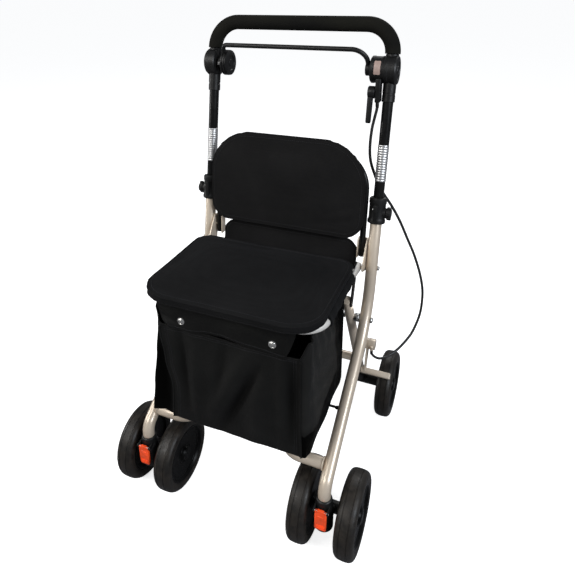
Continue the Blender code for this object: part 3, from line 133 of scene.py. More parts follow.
# %% World and floor
def sees_background(tree):
    """A value that is 1 for rays straight from the camera, and 0 for all others."""
    path = tree.nodes.new("ShaderNodeLightPath")
    return path.outputs["Is Camera Ray"]


def light_world(strength):
    world = bpy.data.worlds.new("studio")
    world.use_nodes = True
    bpy.context.scene.world = world
    tree = world.node_tree
    seen = tree.nodes["Background"]
    seen.inputs["Color"].default_value = (1.0, 1.0, 1.0, 1.0)
    seen.inputs["Strength"].default_value = 1.0
    lit = tree.nodes.new("ShaderNodeBackground")
    lit.inputs["Color"].default_value = (0.93, 0.96, 1.0, 1.0)
    lit.inputs["Strength"].default_value = strength
    mix = tree.nodes.new("ShaderNodeMixShader")
    tree.links.new(sees_background(tree), mix.inputs[0])
    tree.links.new(lit.outputs[0], mix.inputs[1])
    tree.links.new(seen.outputs[0], mix.inputs[2])
    tree.links.new(mix.outputs[0], tree.nodes["World Output"].inputs["Surface"])


def make_floor(radius, glow):
    bpy.ops.object.select_all(action="DESELECT")
    bpy.ops.mesh.primitive_circle_add(vertices=96, radius=radius, fill_type="NGON", location=(0, 0, -0.0004))
    floor = bpy.context.object
    floor.name = "studio_floor"
    bpy.ops.object.transform_apply(location=True)
    look = bpy.data.materials.new("studio_white")
    look.use_nodes = True
    tree = look.node_tree
    shader = tree.nodes["Principled BSDF"]
    shade = tree.nodes.new("ShaderNodeMix")
    shade.data_type = "RGBA"
    shade.inputs[6].default_value = (0.22, 0.22, 0.23, 1.0)
    shade.inputs[7].default_value = (0.86, 0.86, 0.86, 1.0)
    tree.links.new(sees_background(tree), shade.inputs[0])
    tree.links.new(shade.outputs[2], shader.inputs["Base Color"])
    shader.inputs["Roughness"].default_value = 0.9
    shader.inputs["Specular IOR Level"].default_value = 0.0
    shine = tree.nodes.new("ShaderNodeEmission")
    add = tree.nodes.new("ShaderNodeAddShader")
    gain = tree.nodes.new("ShaderNodeMath")
    gain.operation = "MULTIPLY"
    gain.inputs[1].default_value = glow
    tree.links.new(sees_background(tree), gain.inputs[0])
    tree.links.new(gain.outputs[0], shine.inputs["Strength"])
    tree.links.new(shader.outputs[0], add.inputs[0])
    tree.links.new(shine.outputs[0], add.inputs[1])
    tree.links.new(add.outputs[0], tree.nodes["Material Output"].inputs["Surface"])
    floor.data.materials.append(look)
    floor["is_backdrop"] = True
    return floor


light_world(0.30)
make_floor(60.0, 0.72)
print("floor and world are in place")

# %% [markdown]
# The frame stands in soft daylight: a wide lamp from the front left with a tall narrow one beside it, a
# cooler one from the right that brings out the side of the bag, and a weak one behind that draws the
# edges of the black pieces. Wide lamps give soft highlights along the tubes. A single small lamp would
# leave the black cloth without any form.

# %% Lamps
def hang_lamp(name, place, target, size, power, colour, tall=0.0):
    bpy.ops.object.light_add(type="AREA", location=place)
    lamp = bpy.context.object
    lamp.name = name
    lamp.data.shape = "RECTANGLE" if tall else "DISK"
    lamp.data.size = size
    lamp.data.size_y = tall or size
    lamp.data.energy = power
    lamp.data.color = colour
    lamp.rotation_euler = (target - Vector(place)).to_track_quat("-Z", "Y").to_euler()
    return lamp


LOOK_AT = at(0.0, 0.18, 0.42)
hang_lamp("key_lamp", (-1.2, -1.9, 2.1), LOOK_AT, 1.4, 36, (1.0, 0.985, 0.96))
hang_lamp("strip_lamp", (-2.1, -0.5, 1.0), LOOK_AT, 0.30, 16, (1.0, 0.99, 0.97), 1.6)
hang_lamp("window_lamp", (2.0, -0.9, 1.5), LOOK_AT, 1.2, 40, (0.88, 0.93, 1.0))
hang_lamp("edge_lamp", (0.3, 2.2, 2.2), LOOK_AT, 1.2, 22, (1.0, 1.0, 1.0))

# %% [markdown]
# A finish is more than a colour. Paint has flakes and a faint orange peel, moulded plastic has a fine
# grain, foam has pores and cloth has threads. Each finish here starts from one shader, whose plain
# numbers are set on the shader itself, and adds a few node patterns that read the piece's own
# coordinates. Pictures of real surfaces would be quicker, but a pattern of nodes never shows a seam.

# %% A finish and the patterns it is made of
def new_finish(name, colour, roughness, metallic=0.0, specular=0.5):
    look = bpy.data.materials.new(name)
    look.use_nodes = True
    look.diffuse_color = (*colour, 1.0)
    shader = look.node_tree.nodes["Principled BSDF"]
    shader.inputs["Base Color"].default_value = (*colour, 1.0)
    shader.inputs["Roughness"].default_value = roughness
    shader.inputs["Metallic"].default_value = metallic
    shader.inputs["Specular IOR Level"].default_value = specular
    return look


def shader_of(look):
    return look.node_tree.nodes["Principled BSDF"]


def spot(look, stretch=(1.0, 1.0, 1.0)):
    """The piece's own coordinates, stretched along its axes."""
    tree = look.node_tree
    place = tree.nodes.new("ShaderNodeTexCoord")
    mapping = tree.nodes.new("ShaderNodeMapping")
    mapping.inputs["Scale"].default_value = stretch
    tree.links.new(place.outputs["Object"], mapping.inputs["Vector"])
    return mapping.outputs["Vector"]


def noise(look, scale, detail=3.0, rough=0.5, stretch=(1.0, 1.0, 1.0)):
    node = look.node_tree.nodes.new("ShaderNodeTexNoise")
    node.inputs["Scale"].default_value = scale
    node.inputs["Detail"].default_value = detail
    node.inputs["Roughness"].default_value = rough
    look.node_tree.links.new(spot(look, stretch), node.inputs["Vector"])
    return node.outputs["Fac"]


def pores(look, scale):
    node = look.node_tree.nodes.new("ShaderNodeTexVoronoi")
    node.inputs["Scale"].default_value = scale
    look.node_tree.links.new(spot(look), node.inputs["Vector"])
    return node.outputs["Distance"]


def threads(look, pitch, axis):
    """Ridges a thread's pitch apart along one axis."""
    node = look.node_tree.nodes.new("ShaderNodeTexWave")
    node.wave_type = "BANDS"
    node.bands_direction = axis
    node.inputs["Scale"].default_value = math.pi / 10 / pitch
    node.inputs["Distortion"].default_value = 0.6
    node.inputs["Detail"].default_value = 1.0
    node.inputs["Detail Scale"].default_value = 2.0
    look.node_tree.links.new(spot(look), node.inputs["Vector"])
    return node.outputs["Fac"]


def combined(look, operation, first, second):
    node = look.node_tree.nodes.new("ShaderNodeMath")
    node.operation = operation
    for socket, source in zip(node.inputs, (first, second)):
        if isinstance(source, (int, float)):
            socket.default_value = source
        else:
            look.node_tree.links.new(source, socket)
    return node.outputs[0]


def ranged(look, source, low, high, new_low, new_high):
    node = look.node_tree.nodes.new("ShaderNodeMapRange")
    for name, value in (("From Min", low), ("From Max", high), ("To Min", new_low), ("To Max", new_high)):
        node.inputs[name].default_value = value
    look.node_tree.links.new(source, node.inputs["Value"])
    return node.outputs["Result"]


def tinted(look, amount, first, second):
    """Colours the finish between two colours by a pattern."""
    tree = look.node_tree
    node = tree.nodes.new("ShaderNodeMix")
    node.data_type = "RGBA"
    tree.links.new(amount, node.inputs["Factor"])
    node.inputs["A"].default_value = (*first, 1.0)
    node.inputs["B"].default_value = (*second, 1.0)
    tree.links.new(node.outputs["Result"], shader_of(look).inputs["Base Color"])
    return node


def roughened(look, source):
    look.node_tree.links.new(source, shader_of(look).inputs["Roughness"])


def bumped(look, height, depth, strength=1.0, before=None):
    """Raises the surface by a pattern. Depth is in metres, and before is a bump under this one."""
    tree = look.node_tree
    node = tree.nodes.new("ShaderNodeBump")
    node.inputs["Strength"].default_value = strength
    node.inputs["Distance"].default_value = depth
    tree.links.new(height, node.inputs["Height"])
    if before is not None:
        tree.links.new(before.outputs["Normal"], node.inputs["Normal"])
    tree.links.new(node.outputs["Normal"], shader_of(look).inputs["Normal"])
    return node


print("finish helpers are ready")

# %% [markdown]
# The frame's tubes wear a champagne metallic paint under a clear coat. Tiny flakes make it sparkle, the
# coat ripples a little, and hands and floors leave it duller in patches. A plain beige would look like
# plastic, so the paint is part metal and its flakes are a very fine noise. The black tubes get the same
# treatment in a darker key, with faint marks along them where they slide.

# %% Paint, silver and steel
def make_champagne(name, middle, light, dark):
    look = new_finish(name, middle, 0.36, 0.30, 0.5)
    shader_of(look).inputs["Coat Weight"].default_value = 0.35
    shader_of(look).inputs["Coat Roughness"].default_value = 0.16
    flakes = ranged(look, noise(look, 1500.0, 1.0), 0.35, 0.65, 0.0, 1.0)
    patches = ranged(look, noise(look, 22.0, 4.0, 0.6), 0.35, 0.75, 0.0, 1.0)
    blend = combined(look, "ADD", combined(look, "MULTIPLY", flakes, 0.45),
                     combined(look, "MULTIPLY", patches, 0.40))
    tinted(look, blend, light, dark)
    roughened(look, ranged(look, noise(look, 55.0, 5.0, 0.65), 0.3, 0.8, 0.27, 0.46))
    peel = bumped(look, noise(look, 420.0, 2.0), 0.00012, 0.35)
    bumped(look, noise(look, 30.0, 3.0), 0.0003, 0.12, peel)
    return look


def make_black_paint():
    look = new_finish("black_paint", (0.006, 0.006, 0.006), 0.34, 0.15, 0.25)
    shader_of(look).inputs["Coat Weight"].default_value = 0.12
    shader_of(look).inputs["Coat Roughness"].default_value = 0.18
    marks = ranged(look, noise(look, 190.0, 4.0, 0.6, (1.0, 1.0, 0.04)), 0.55, 0.75, 0.0, 1.0)
    tinted(look, marks, (0.005, 0.005, 0.005), (0.014, 0.013, 0.012))
    roughened(look, ranged(look, noise(look, 60.0, 4.0, 0.6), 0.3, 0.8, 0.26, 0.46))
    bumped(look, noise(look, 420.0, 2.0), 0.0001, 0.3)
    return look


def make_metal(name, colour, low, high):
    look = new_finish(name, colour, 0.3, 1.0, 0.5)
    tinted(look, noise(look, 130.0, 4.0, 0.6), colour, tuple(c * 0.78 for c in colour))
    roughened(look, ranged(look, noise(look, 240.0, 4.0, 0.6), 0.3, 0.7, low, high))
    bumped(look, noise(look, 900.0, 2.0), 0.00005, 0.25)
    return look


CHAMPAGNE = make_champagne("beige_paint", (0.60, 0.51, 0.41), (0.66, 0.565, 0.455), (0.53, 0.44, 0.34))
# A lighter copy of the champagne paint, used as painted light on the seat frame
PAINTED_LIGHT_CHAMPAGNE = make_champagne("champagne_painted_light", (0.80, 0.77, 0.72), (0.84, 0.82, 0.78), (0.74, 0.70, 0.64))
BLACK_PAINT = make_black_paint()
SILVER = make_metal("silver_band", (0.66, 0.66, 0.66), 0.34, 0.52)
STEEL = make_metal("steel", (0.58, 0.58, 0.57), 0.24, 0.42)
NICKEL = make_metal("nickel_snap", (0.74, 0.73, 0.70), 0.16, 0.28)
print("metal finishes:", [m.name for m in (CHAMPAGNE, PAINTED_LIGHT_CHAMPAGNE, BLACK_PAINT, SILVER, STEEL, NICKEL)])

# %% [markdown]
# The moulded pieces are nylon with a spark-eroded grain, the grip is a closed-cell foam, and the tyres
# are solid rubber, a little lighter and browner than the plastic discs in them. These surfaces are all
# nearly black, so what tells them apart is how rough they are. Their shine is therefore kept low and
# varied, and their grain is in the bump and not in the colour.

# %% Plastic, foam and rubber
def make_plastic(name, colour, low, high, grain, specular=0.3):
    look = new_finish(name, colour, (low + high) / 2, 0.0, specular)
    tinted(look, ranged(look, noise(look, 40.0, 4.0, 0.6), 0.35, 0.7, 0.0, 1.0), colour,
           tuple(c * 1.6 + 0.0008 for c in colour))
    roughened(look, ranged(look, noise(look, 90.0, 4.0, 0.6), 0.3, 0.7, low, high))
    bumped(look, noise(look, grain, 2.0), 0.00012, 0.5)
    return look


def make_foam():
    look = new_finish("foam", (0.008, 0.008, 0.007), 0.88, 0.0, 0.08)
    worn = ranged(look, noise(look, 16.0, 3.0, 0.5, (0.3, 1.0, 1.0)), 0.4, 0.7, 0.0, 1.0)
    tinted(look, worn, (0.0055, 0.0055, 0.0053), (0.0125, 0.0120, 0.0090))
    fine = bumped(look, pores(look, 850.0), 0.0004, 0.45)
    bumped(look, noise(look, 180.0, 4.0, 0.6), 0.0004, 0.3, fine)
    return look


def make_rubber():
    look = new_finish("tyre_rubber", (0.014, 0.012, 0.010), 0.45, 0.0, 0.34)
    dust = ranged(look, noise(look, 60.0, 5.0, 0.65), 0.4, 0.72, 0.0, 1.0)
    tinted(look, dust, (0.0085, 0.0072, 0.0060), (0.024, 0.019, 0.0145))
    roughened(look, ranged(look, noise(look, 120.0, 4.0, 0.6), 0.3, 0.7, 0.34, 0.58))
    bumped(look, noise(look, 700.0, 3.0), 0.00018, 0.5)
    return look


PLASTIC = make_plastic("black_plastic", (0.005, 0.005, 0.005), 0.34, 0.52, 1500.0, 0.3)
HUB_BLACK = make_plastic("hub_plastic", (0.0012, 0.0012, 0.0012), 0.24, 0.40, 900.0, 0.12)
SHEATH = make_plastic("cable_sheath", (0.012, 0.012, 0.012), 0.32, 0.45, 600.0, 0.4)
ORANGE = make_plastic("orange_plastic", (0.82, 0.075, 0.015), 0.30, 0.44, 1200.0, 0.45)
FOAM = make_foam()
RUBBER = make_rubber()
print("moulded finishes:", [m.name for m in (PLASTIC, HUB_BLACK, SHEATH, ORANGE, FOAM, RUBBER)])

# %% [markdown]
# Most of the frame is bent tube. A tube bender leaves straight runs with round arcs between them, so the
# first helper turns corner points into such a path. A curve is then drawn along it, given the tube's
# radius, and made a mesh. Extruding a ring by hand along each bend would give the same tube with far
# more work. The drawn line alone, with no radius, later serves as a profile for turned pieces.

# %% Paths, lines and tubes
def bent(corners, radii, step=math.radians(5)):
    """Straight runs between corners, with an arc of the given radius at each inner corner."""
    corners = [Vector(c) for c in corners]
    points = [corners[0]]
    for before, corner, after, radius in zip(corners, corners[1:], corners[2:], radii):
        back = (before - corner).normalized()
        ahead = (after - corner).normalized()
        half = back.angle(ahead) / 2
        first = corner + back * (radius / math.tan(half))
        centre = corner + (back + ahead).normalized() * (radius / math.sin(half))
        spoke = first - centre
        turn = math.pi - 2 * half
        axis = back.cross(ahead).normalized()
        count = max(3, math.ceil(turn / step))
        for index in range(count + 1):
            points.append(centre + Matrix.Rotation(-turn * index / count, 3, axis) @ spoke)
    points.append(corners[-1])
    return points


def empty_curve(name):
    """A curve object that has no line in it yet."""
    bpy.ops.object.select_all(action="DESELECT")
    bpy.ops.curve.primitive_bezier_curve_add(location=(0, 0, 0))
    line = bpy.context.object
    line.name = name
    line.data.splines.clear()
    return line


def run_through(line, points):
    """Adds a run with straight sides to a curve."""
    spline = line.data.splines.new("POLY")
    spline.points.add(len(points) - 1)
    for target, point in zip(spline.points, points):
        target.co = (*point, 1.0)
    return spline


def drawn_line(name, points, closed=False, radius=0.0, rounding=7):
    """A line through points, or a round bar along them, as a mesh object."""
    line = empty_curve(name)
    run_through(line, points).use_cyclic_u = closed
    line.data.bevel_depth = radius
    line.data.bevel_resolution = rounding
    line.data.use_fill_caps = radius > 0 and not closed
    bpy.ops.object.convert(target="MESH")
    return bpy.context.object


def only(piece):
    """Makes one piece the selected and active one."""
    bpy.ops.object.select_all(action="DESELECT")
    piece.select_set(True)
    bpy.context.view_layer.objects.active = piece
    return piece


def modified(piece, kind, **settings):
    """Gives a piece a modifier with these settings, and applies it."""
    only(piece)
    bpy.ops.object.modifier_add(type=kind)
    modifier = piece.modifiers[-1]
    for setting, value in settings.items():
        setattr(modifier, setting, value)
    bpy.ops.object.modifier_apply(modifier=modifier.name)
    return piece


def healed(piece, distance=0.00002):
    """Welds doubles and turns every face outwards."""
    only(piece)
    bpy.ops.object.mode_set(mode="EDIT")
    bpy.ops.mesh.select_all(action="SELECT")
    bpy.ops.mesh.remove_doubles(threshold=distance)
    bpy.ops.mesh.normals_make_consistent(inside=False)
    bpy.ops.object.mode_set(mode="OBJECT")
    return piece


def pushed_out(piece, move):
    """Fills a closed line and extrudes it into a plate."""
    bpy.ops.object.mode_set(mode="EDIT")
    bpy.ops.mesh.select_all(action="SELECT")
    bpy.ops.mesh.edge_face_add()
    bpy.ops.mesh.extrude_region_move(TRANSFORM_OT_translate={"value": move})
    bpy.ops.object.mode_set(mode="OBJECT")
    return healed(piece)


def eased(piece, width, angle=38, segments=2):
    """Rounds the sharp edges by a small bevel and shades the rest smooth."""
    modified(piece, "BEVEL", width=width, segments=segments, limit_method="ANGLE",
             angle_limit=math.radians(angle), use_clamp_overlap=True)
    bpy.ops.object.shade_smooth_by_angle(angle=math.radians(angle))
    return piece


def bar_along(name, points, radius, rounding=7, ease=0.0008):
    """A round bar or tube along points, with eased ends."""
    return eased(healed(drawn_line(name, points, radius=radius, rounding=rounding)), ease, 60)


def merged(name, *pieces):
    """Joins pieces into one object."""
    only(pieces[0])
    for piece in pieces[1:]:
        piece.select_set(True)
    bpy.ops.object.join()
    joined = bpy.context.object
    joined.name = name
    return joined


def settled(piece, body, slot, finish, *nodes):
    """Gives a piece its finish, its body and the nodes that it stands for. The slot is not used."""
    only(piece)
    bpy.ops.object.transform_apply(location=True, rotation=True, scale=True)
    piece.data.materials.clear()
    piece.data.materials.append(finish)
    for face in piece.data.polygons:
        face.material_index = 0
    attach(piece, body)
    if nodes:
        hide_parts(*nodes)
    print(piece.name, "has", len(piece.data.polygons), "faces and rides on", body)
    return piece


# %% [markdown]
# Each main tube is one bent piece. It stands on a front wheel, leans back under the bag, and turns up
# beside the backrest, where the handle slides into it. The cross tube between the two bows back in the
# middle to make room for a foot, and is welded on, so each end gets a raised bead. The rear legs are
# straight tubes that cross the main ones at a bolt.

# %% Main tubes, cross tube and legs
HALF_TRACK = 0.180
LEAN = math.radians(10.7)
TUBE_R = 0.0112
LEG_X = 0.150
LEG_R = 0.0095
CROSS = (0.24702, 0.339)
LEG_TOP = 0.0615
REAR_AXLE = (0.387, 0.075)
REAR_TUBE_Z, REAR_TUBE_HALF = 0.165, 0.1402


def post_point(x, z, ahead=0.0):
    """A place on the leaning post of the handle, or a little in front of it."""
    return at(x, 0.262 + (z - 0.332) * math.tan(LEAN) - ahead, z)


def main_path(side):
    x = side * HALF_TRACK
    corners = [at(x, 0, 0.139), at(x, 0, 0.1595), at(x, 0.262, 0.332), post_point(x, 0.5702)]
    return bent(corners, [0.030, 0.172], math.radians(4))


def leg_point(side, along, x=LEG_X):
    """A place on a rear leg, so far above the bolt on which it turns."""
    rise = Vector((0, CROSS[0] - REAR_AXLE[0], CROSS[1] - REAR_AXLE[1])).normalized()
    return at(side * x, CROSS[0] + rise.y * along, CROSS[1] + rise.z * along)


def bead(place, ring_r, bead_r, turns, rounds):
    """The raised ring that a weld leaves round a tube along X."""
    bpy.ops.object.select_all(action="DESELECT")
    bpy.ops.mesh.primitive_torus_add(
        location=place, rotation=(0, math.pi / 2, 0), major_radius=ring_r, minor_radius=bead_r,
        major_segments=turns, minor_segments=rounds)
    return bpy.context.object


LEG_LENGTH = math.dist(CROSS, REAR_AXLE)
for side, tag in SIDES:
    tube = bar_along("dressed_main_tube_" + tag, main_path(side), TUBE_R, 9)
    settled(tube, "frame", "beige_paint", CHAMPAGNE, "main_tube_" + tag)

BOW_Y, BOW_BACK_Y, BOW_Z = 0.027, 0.060, 0.183
bow_corners = [at(x, y, BOW_Z) for x, y in
               ((-0.1695, BOW_Y), (-0.112, BOW_Y), (-0.075, BOW_BACK_Y),
                (0.075, BOW_BACK_Y), (0.112, BOW_Y), (0.1695, BOW_Y))]
bow = bar_along("dressed_front_tube", bent(bow_corners, [0.040] * 4), 0.0107, 8)
beads = [bead(at(side * 0.1688, BOW_Y, BOW_Z), 0.0108, 0.0016, 40, 10) for side, tag in SIDES]
bow = merged("dressed_front_tube", bow, *beads)
settled(bow, "frame", "beige_paint", CHAMPAGNE, "front_cross_tube")

# %% [markdown]
# A rear leg ends above its bolt in a flat cheek, because the black link to the seat passes right beside
# it. The cheek is cut from the round tube by a plain block. Pressing the tube flat would be how some
# makers do it, but the cut keeps the outer side as round as the photograph shows it.

# %% Legs with their cheeks, and the tube between them
def block(name, low, high):
    """A box between two corners."""
    low, high = Vector(low), Vector(high)
    bpy.ops.object.select_all(action="DESELECT")
    bpy.ops.mesh.primitive_cube_add(size=1, location=(low + high) / 2, scale=high - low)
    piece = bpy.context.object
    piece.name = name
    bpy.ops.object.transform_apply(location=True, rotation=True, scale=True)
    return piece


def carved(piece, cutter):
    """Takes one closed shape out of another."""
    modified(piece, "BOOLEAN", operation="DIFFERENCE", object=cutter)
    bpy.data.objects.remove(cutter)
    return piece


for side, tag in SIDES:
    foot = leg_point(side, 0.016 - LEG_LENGTH)
    leg = healed(drawn_line("dressed_leg_" + tag, [foot, leg_point(side, LEG_TOP)], radius=LEG_R, rounding=9))
    cheek = leg_point(side, LEG_TOP - 0.026)
    xs = sorted((at(side * 0.1559, 0, 0).x, at(side * 0.170, 0, 0).x))
    cutter = block("cheek_cutter", (xs[0], cheek.y - 0.04, cheek.z), (xs[1], cheek.y + 0.04, cheek.z + 0.05))
    leg = eased(carved(leg, cutter), 0.0007, 55)
    settled(leg, "rear_frame", "beige_paint", CHAMPAGNE, "rear_leg_" + tag)

REAR_TUBE_ALONG = (REAR_TUBE_Z - CROSS[1]) / (CROSS[1] - REAR_AXLE[1]) * LEG_LENGTH
rear_tube = bar_along(
    "dressed_rear_tube",
    [leg_point(side, REAR_TUBE_ALONG, REAR_TUBE_HALF) for side in (-1, 1)], LEG_R, 8)
beads = [bead(leg_point(side, REAR_TUBE_ALONG, 0.1405), 0.0096, 0.0013, 36, 8) for side, tag in SIDES]
settled(merged("dressed_rear_tube", rear_tube, *beads), "rear_frame", "beige_paint", CHAMPAGNE,
        "rear_cross_tube")

# %% [markdown]
# Round mouldings such as collars, drums, knobs and wheels are turned shapes. A profile is drawn as a
# line beside the axis and spun round it in edit mode, the way a lathe or a potter's wheel sweeps a
# shape. Primitives with many loops would also do, but a profile says the radii and steps directly.

# %% Turned shapes
def turned(name, profile, base, along, steps=56, closed=False):
    """Spins a profile of (radius, distance along the axis) pairs round an axis through base."""
    along = Vector(along).normalized()
    spoke = along.orthogonal().normalized()
    points = [Vector(base) + along * distance + spoke * radius for radius, distance in profile]
    piece = drawn_line(name, points, closed)
    bpy.ops.object.mode_set(mode="EDIT")
    bpy.ops.mesh.select_all(action="SELECT")
    bpy.ops.mesh.spin(steps=steps, angle=2 * math.pi, center=base, axis=along)
    bpy.ops.object.mode_set(mode="OBJECT")
    healed(piece)
    bpy.ops.object.shade_smooth_by_angle(angle=math.radians(32))
    return piece


def rounded_profile(radius, low, high, edge, steps=4):
    """The profile of a short cylinder whose two rims are rounded."""
    arc = [(radius - edge + edge * math.sin(math.pi / 2 * i / steps),
            edge * (1 - math.cos(math.pi / 2 * i / steps))) for i in range(steps + 1)]
    lower = [(r, low + a) for r, a in arc]
    upper = [(r, high - a) for r, a in reversed(arc)]
    return [(0.0, low)] + lower + upper + [(0.0, high)]


POST_UP = Vector((0, math.sin(LEAN), math.cos(LEAN)))
print("posts lean", round(math.degrees(LEAN), 1), "degrees")

# %% [markdown]
# The handle tube slides in the main tubes. It is one long hoop with a foam sleeve over the top, and on
# each side a bright ribbed band that shows how far it is pulled out. The ribs are real ridges here,
# modelled in the band's turned profile, because they catch the light as fine stripes. A bump pattern
# would look the same from afar, but it would give the band a straight edge against the sky.

# %% Handle tube, bands and foam grip
HANDLE_TOP_Z = 0.8835
FOAM_END_Z = 0.834
BAND_LOW_Z, BAND_HIGH_Z = 0.6052, 0.6738


def handle_path(low_z):
    corners = [post_point(-HALF_TRACK, low_z), post_point(-HALF_TRACK, HANDLE_TOP_Z),
               post_point(HALF_TRACK, HANDLE_TOP_Z), post_point(HALF_TRACK, low_z)]
    return bent(corners, [0.050] * 2, math.radians(5))


hoop = bar_along("dressed_handle_tube", handle_path(0.475), 0.0098, 9)
settled(hoop, "handle", "black_paint", BLACK_PAINT, "handle_tube")

for side, tag in SIDES:
    base = post_point(side * HALF_TRACK, BAND_LOW_Z)
    length = (BAND_HIGH_Z - BAND_LOW_Z) / math.cos(LEAN)
    ribs = 15
    pitch = length / ribs
    profile = [(0.0085, 0.0)]
    for rib in range(ribs):
        low = rib * pitch
        profile += [(0.00985, low + 0.0002), (0.01035, low + pitch * 0.22), (0.01035, low + pitch * 0.62),
                    (0.00985, low + pitch * 0.82)]
    profile.append((0.0085, length))
    band = turned("dressed_band_" + tag, profile, base, POST_UP, 48)
    settled(band, "handle", "silver_band", SILVER, "height_band_" + tag)

grip = eased(healed(drawn_line("dressed_grip", handle_path(FOAM_END_Z), radius=0.0139, rounding=11)),
             0.0035, 60, 4)
settled(grip, "handle", "foam", FOAM, "handle_foam")

# %% [markdown]
# A collar clamps the handle at its height. It is a thick moulding over the top of the main tube with a
# lip above and below, a boss on the outside, and a knob with a wing that a thumb can turn. The knob is
# a turned shape with flutes cut by alternating its radius, which is how a thumb screw gets its grip.

# %% Height collars and their knobs
def fluted(name, radius, low, high, base, along, flutes=12):
    """A round knob whose side has shallow flutes."""
    knob = turned(name, rounded_profile(radius, low, high, 0.0018), base, along, flutes * 4)
    along = Vector(along).normalized()
    spoke = along.orthogonal().normalized()
    for vertex in knob.data.vertices:
        out = vertex.co - Vector(base)
        flat = out - along * out.dot(along)
        if flat.length > radius * 0.86:
            angle = math.atan2(flat.dot(spoke.cross(along)), flat.dot(spoke))
            vertex.co -= flat.normalized() * 0.0007 * (1 + math.cos(angle * flutes)) / 2
    return knob


KNOB_Z = 0.546
COLLAR_LOW_Z, COLLAR_HIGH_Z = 0.526, 0.575
for side, tag in SIDES:
    x = side * HALF_TRACK
    base = post_point(x, COLLAR_LOW_Z)
    length = (COLLAR_HIGH_Z - COLLAR_LOW_Z) / math.cos(LEAN)
    profile = [(0.0114, 0.0), (0.0158, 0.0), (0.0168, 0.001), (0.0168, 0.0065), (0.0158, 0.008),
               (0.0154, 0.011), (0.0156, length - 0.013), (0.0166, length - 0.010), (0.0166, length - 0.003),
               (0.0150, length - 0.0006), (0.0109, length)]
    collar = turned("dressed_collar_" + tag, profile, base, POST_UP)
    outward = Vector((side, 0, 0))
    boss = turned("collar_boss", rounded_profile(0.0105, 0.0, 0.0110, 0.0008),
                  post_point(side * (HALF_TRACK + 0.0055), KNOB_Z), outward, 40)
    ear_spot = post_point(x, 0.5505, 0.0158)
    ear = block("collar_ear", ear_spot - Vector((0.0042, 0.0045, 0.016)),
                ear_spot + Vector((0.0042, 0.0030, 0.016)))
    ear = eased(ear, 0.0014)
    collar = merged("dressed_collar_" + tag, collar, boss, ear)
    settled(collar, "frame", "black_plastic", PLASTIC, "height_collar_" + tag)
    start = post_point(side * (HALF_TRACK + 0.0173), KNOB_Z)
    knob = fluted("dressed_knob_" + tag, 0.0104, 0.0, 0.0095, start, outward)
    ends = sorted((start.x + side * 0.0012, start.x + side * 0.0094))
    wing = eased(block("wing", (ends[0], start.y - 0.0030, start.z - 0.0130),
                       (ends[1], start.y + 0.0030, start.z + 0.0130)), 0.0014)
    knob = merged("dressed_knob_" + tag, knob, wing)
    settled(knob, "collar_knob_" + tag, "black_plastic", PLASTIC, "collar_knob_" + tag)
    clamp_screw = turned("clamp_screw_" + tag, rounded_profile(0.0030, 0.0, 0.0016, 0.0006),
                         ear_spot + Vector((-0.0055, -0.0008, 0.0075)), (1, 0, 0), 24)
    settled(clamp_screw, "frame", "steel", STEEL)

# %% [markdown]
# The brake is worked by the bar under the grip. Each end of the bar turns in a hub that is moulded
# round the post: on one side a drum with a free disc beside it, on the other a housing that holds the
# inner cable, with a pale window and the parking lever under it. The hubs are joined from turned
# shapes. Plain cylinders would miss the rims and steps that give such a hub its look.

# %% Brake hubs
HUB_Z = 0.806
SLEEVE_LOW_Z, SLEEVE_HIGH_Z = 0.750, 0.8334
LEVER_PIVOT = (0.33296, 0.768)
for side, tag in SIDES:
    x = side * HALF_TRACK
    outward = Vector((side, 0, 0))
    sleeve_low = post_point(x, SLEEVE_LOW_Z)
    sleeve_length = (SLEEVE_HIGH_Z - SLEEVE_LOW_Z) / math.cos(LEAN)
    sleeve = turned("sleeve", [(0.0100, 0.0), (0.0112, 0.0), (0.0118, 0.0008), (0.0118, 0.012),
                               (0.0113, 0.0125), (0.0113, 0.016), (0.0118, 0.0165),
                               (0.0118, sleeve_length - 0.001), (0.0108, sleeve_length),
                               (0.0100, sleeve_length)], sleeve_low, POST_UP, 48)
    drum = turned("drum", [(0.0, -0.011), (0.0215, -0.011), (0.0232, -0.0100), (0.0250, -0.0100),
                           (0.0265, -0.0085), (0.0265, -0.0030), (0.0259, -0.0024), (0.0259, 0.0040),
                           (0.0265, 0.0046), (0.0265, 0.0100), (0.0245, 0.0126), (0.0170, 0.0130),
                           (0.0160, 0.0116), (0.0075, 0.0116), (0.0065, 0.0130), (0.0, 0.0130)],
                  post_point(x, HUB_Z), outward, 72)
    pieces = [sleeve, drum]
    if side > 0:
        housing = [(0.0, -0.036), (0.0120, -0.036), (0.0226, -0.0352), (0.0245, -0.0335),
                   (0.0245, -0.0290), (0.0239, -0.0284), (0.0239, -0.0150), (0.0245, -0.0144),
                   (0.0245, -0.0090), (0.0, -0.0090)]
        pieces.append(turned("housing", housing, post_point(x, HUB_Z), outward, 72))
        lug_low = at(0.1582, 0.324, 0.7505)
        pieces.append(eased(block("lug", lug_low, at(0.1680, 0.342, 0.794)), 0.0022, 38, 3))
        pieces.append(turned("lever_pin", rounded_profile(0.0040, 0.0, 0.016, 0.0005),
                             at(0.1465, *LEVER_PIVOT), (1, 0, 0), 24))
    else:
        pieces.append(turned("neck", [(0.0, -0.0215), (0.0136, -0.0215), (0.0140, -0.0210),
                                      (0.0140, -0.0085), (0.0, -0.0085)], post_point(x, HUB_Z), outward, 48))
    hub = merged("dressed_hub_" + tag, *pieces)
    settled(hub, "handle", "black_plastic", PLASTIC, "brake_hub_" + tag)

# %% [markdown]
# The housing has a small window on its front that stays bare, a pale satin plate with rounded corners
# laid on the curve of the barrel. It is bent by placing each of its points at the barrel's radius. On
# the other hub a bright screw head holds the neck. Both are small, but in such dark pieces a single
# light spot is what the eye finds first.

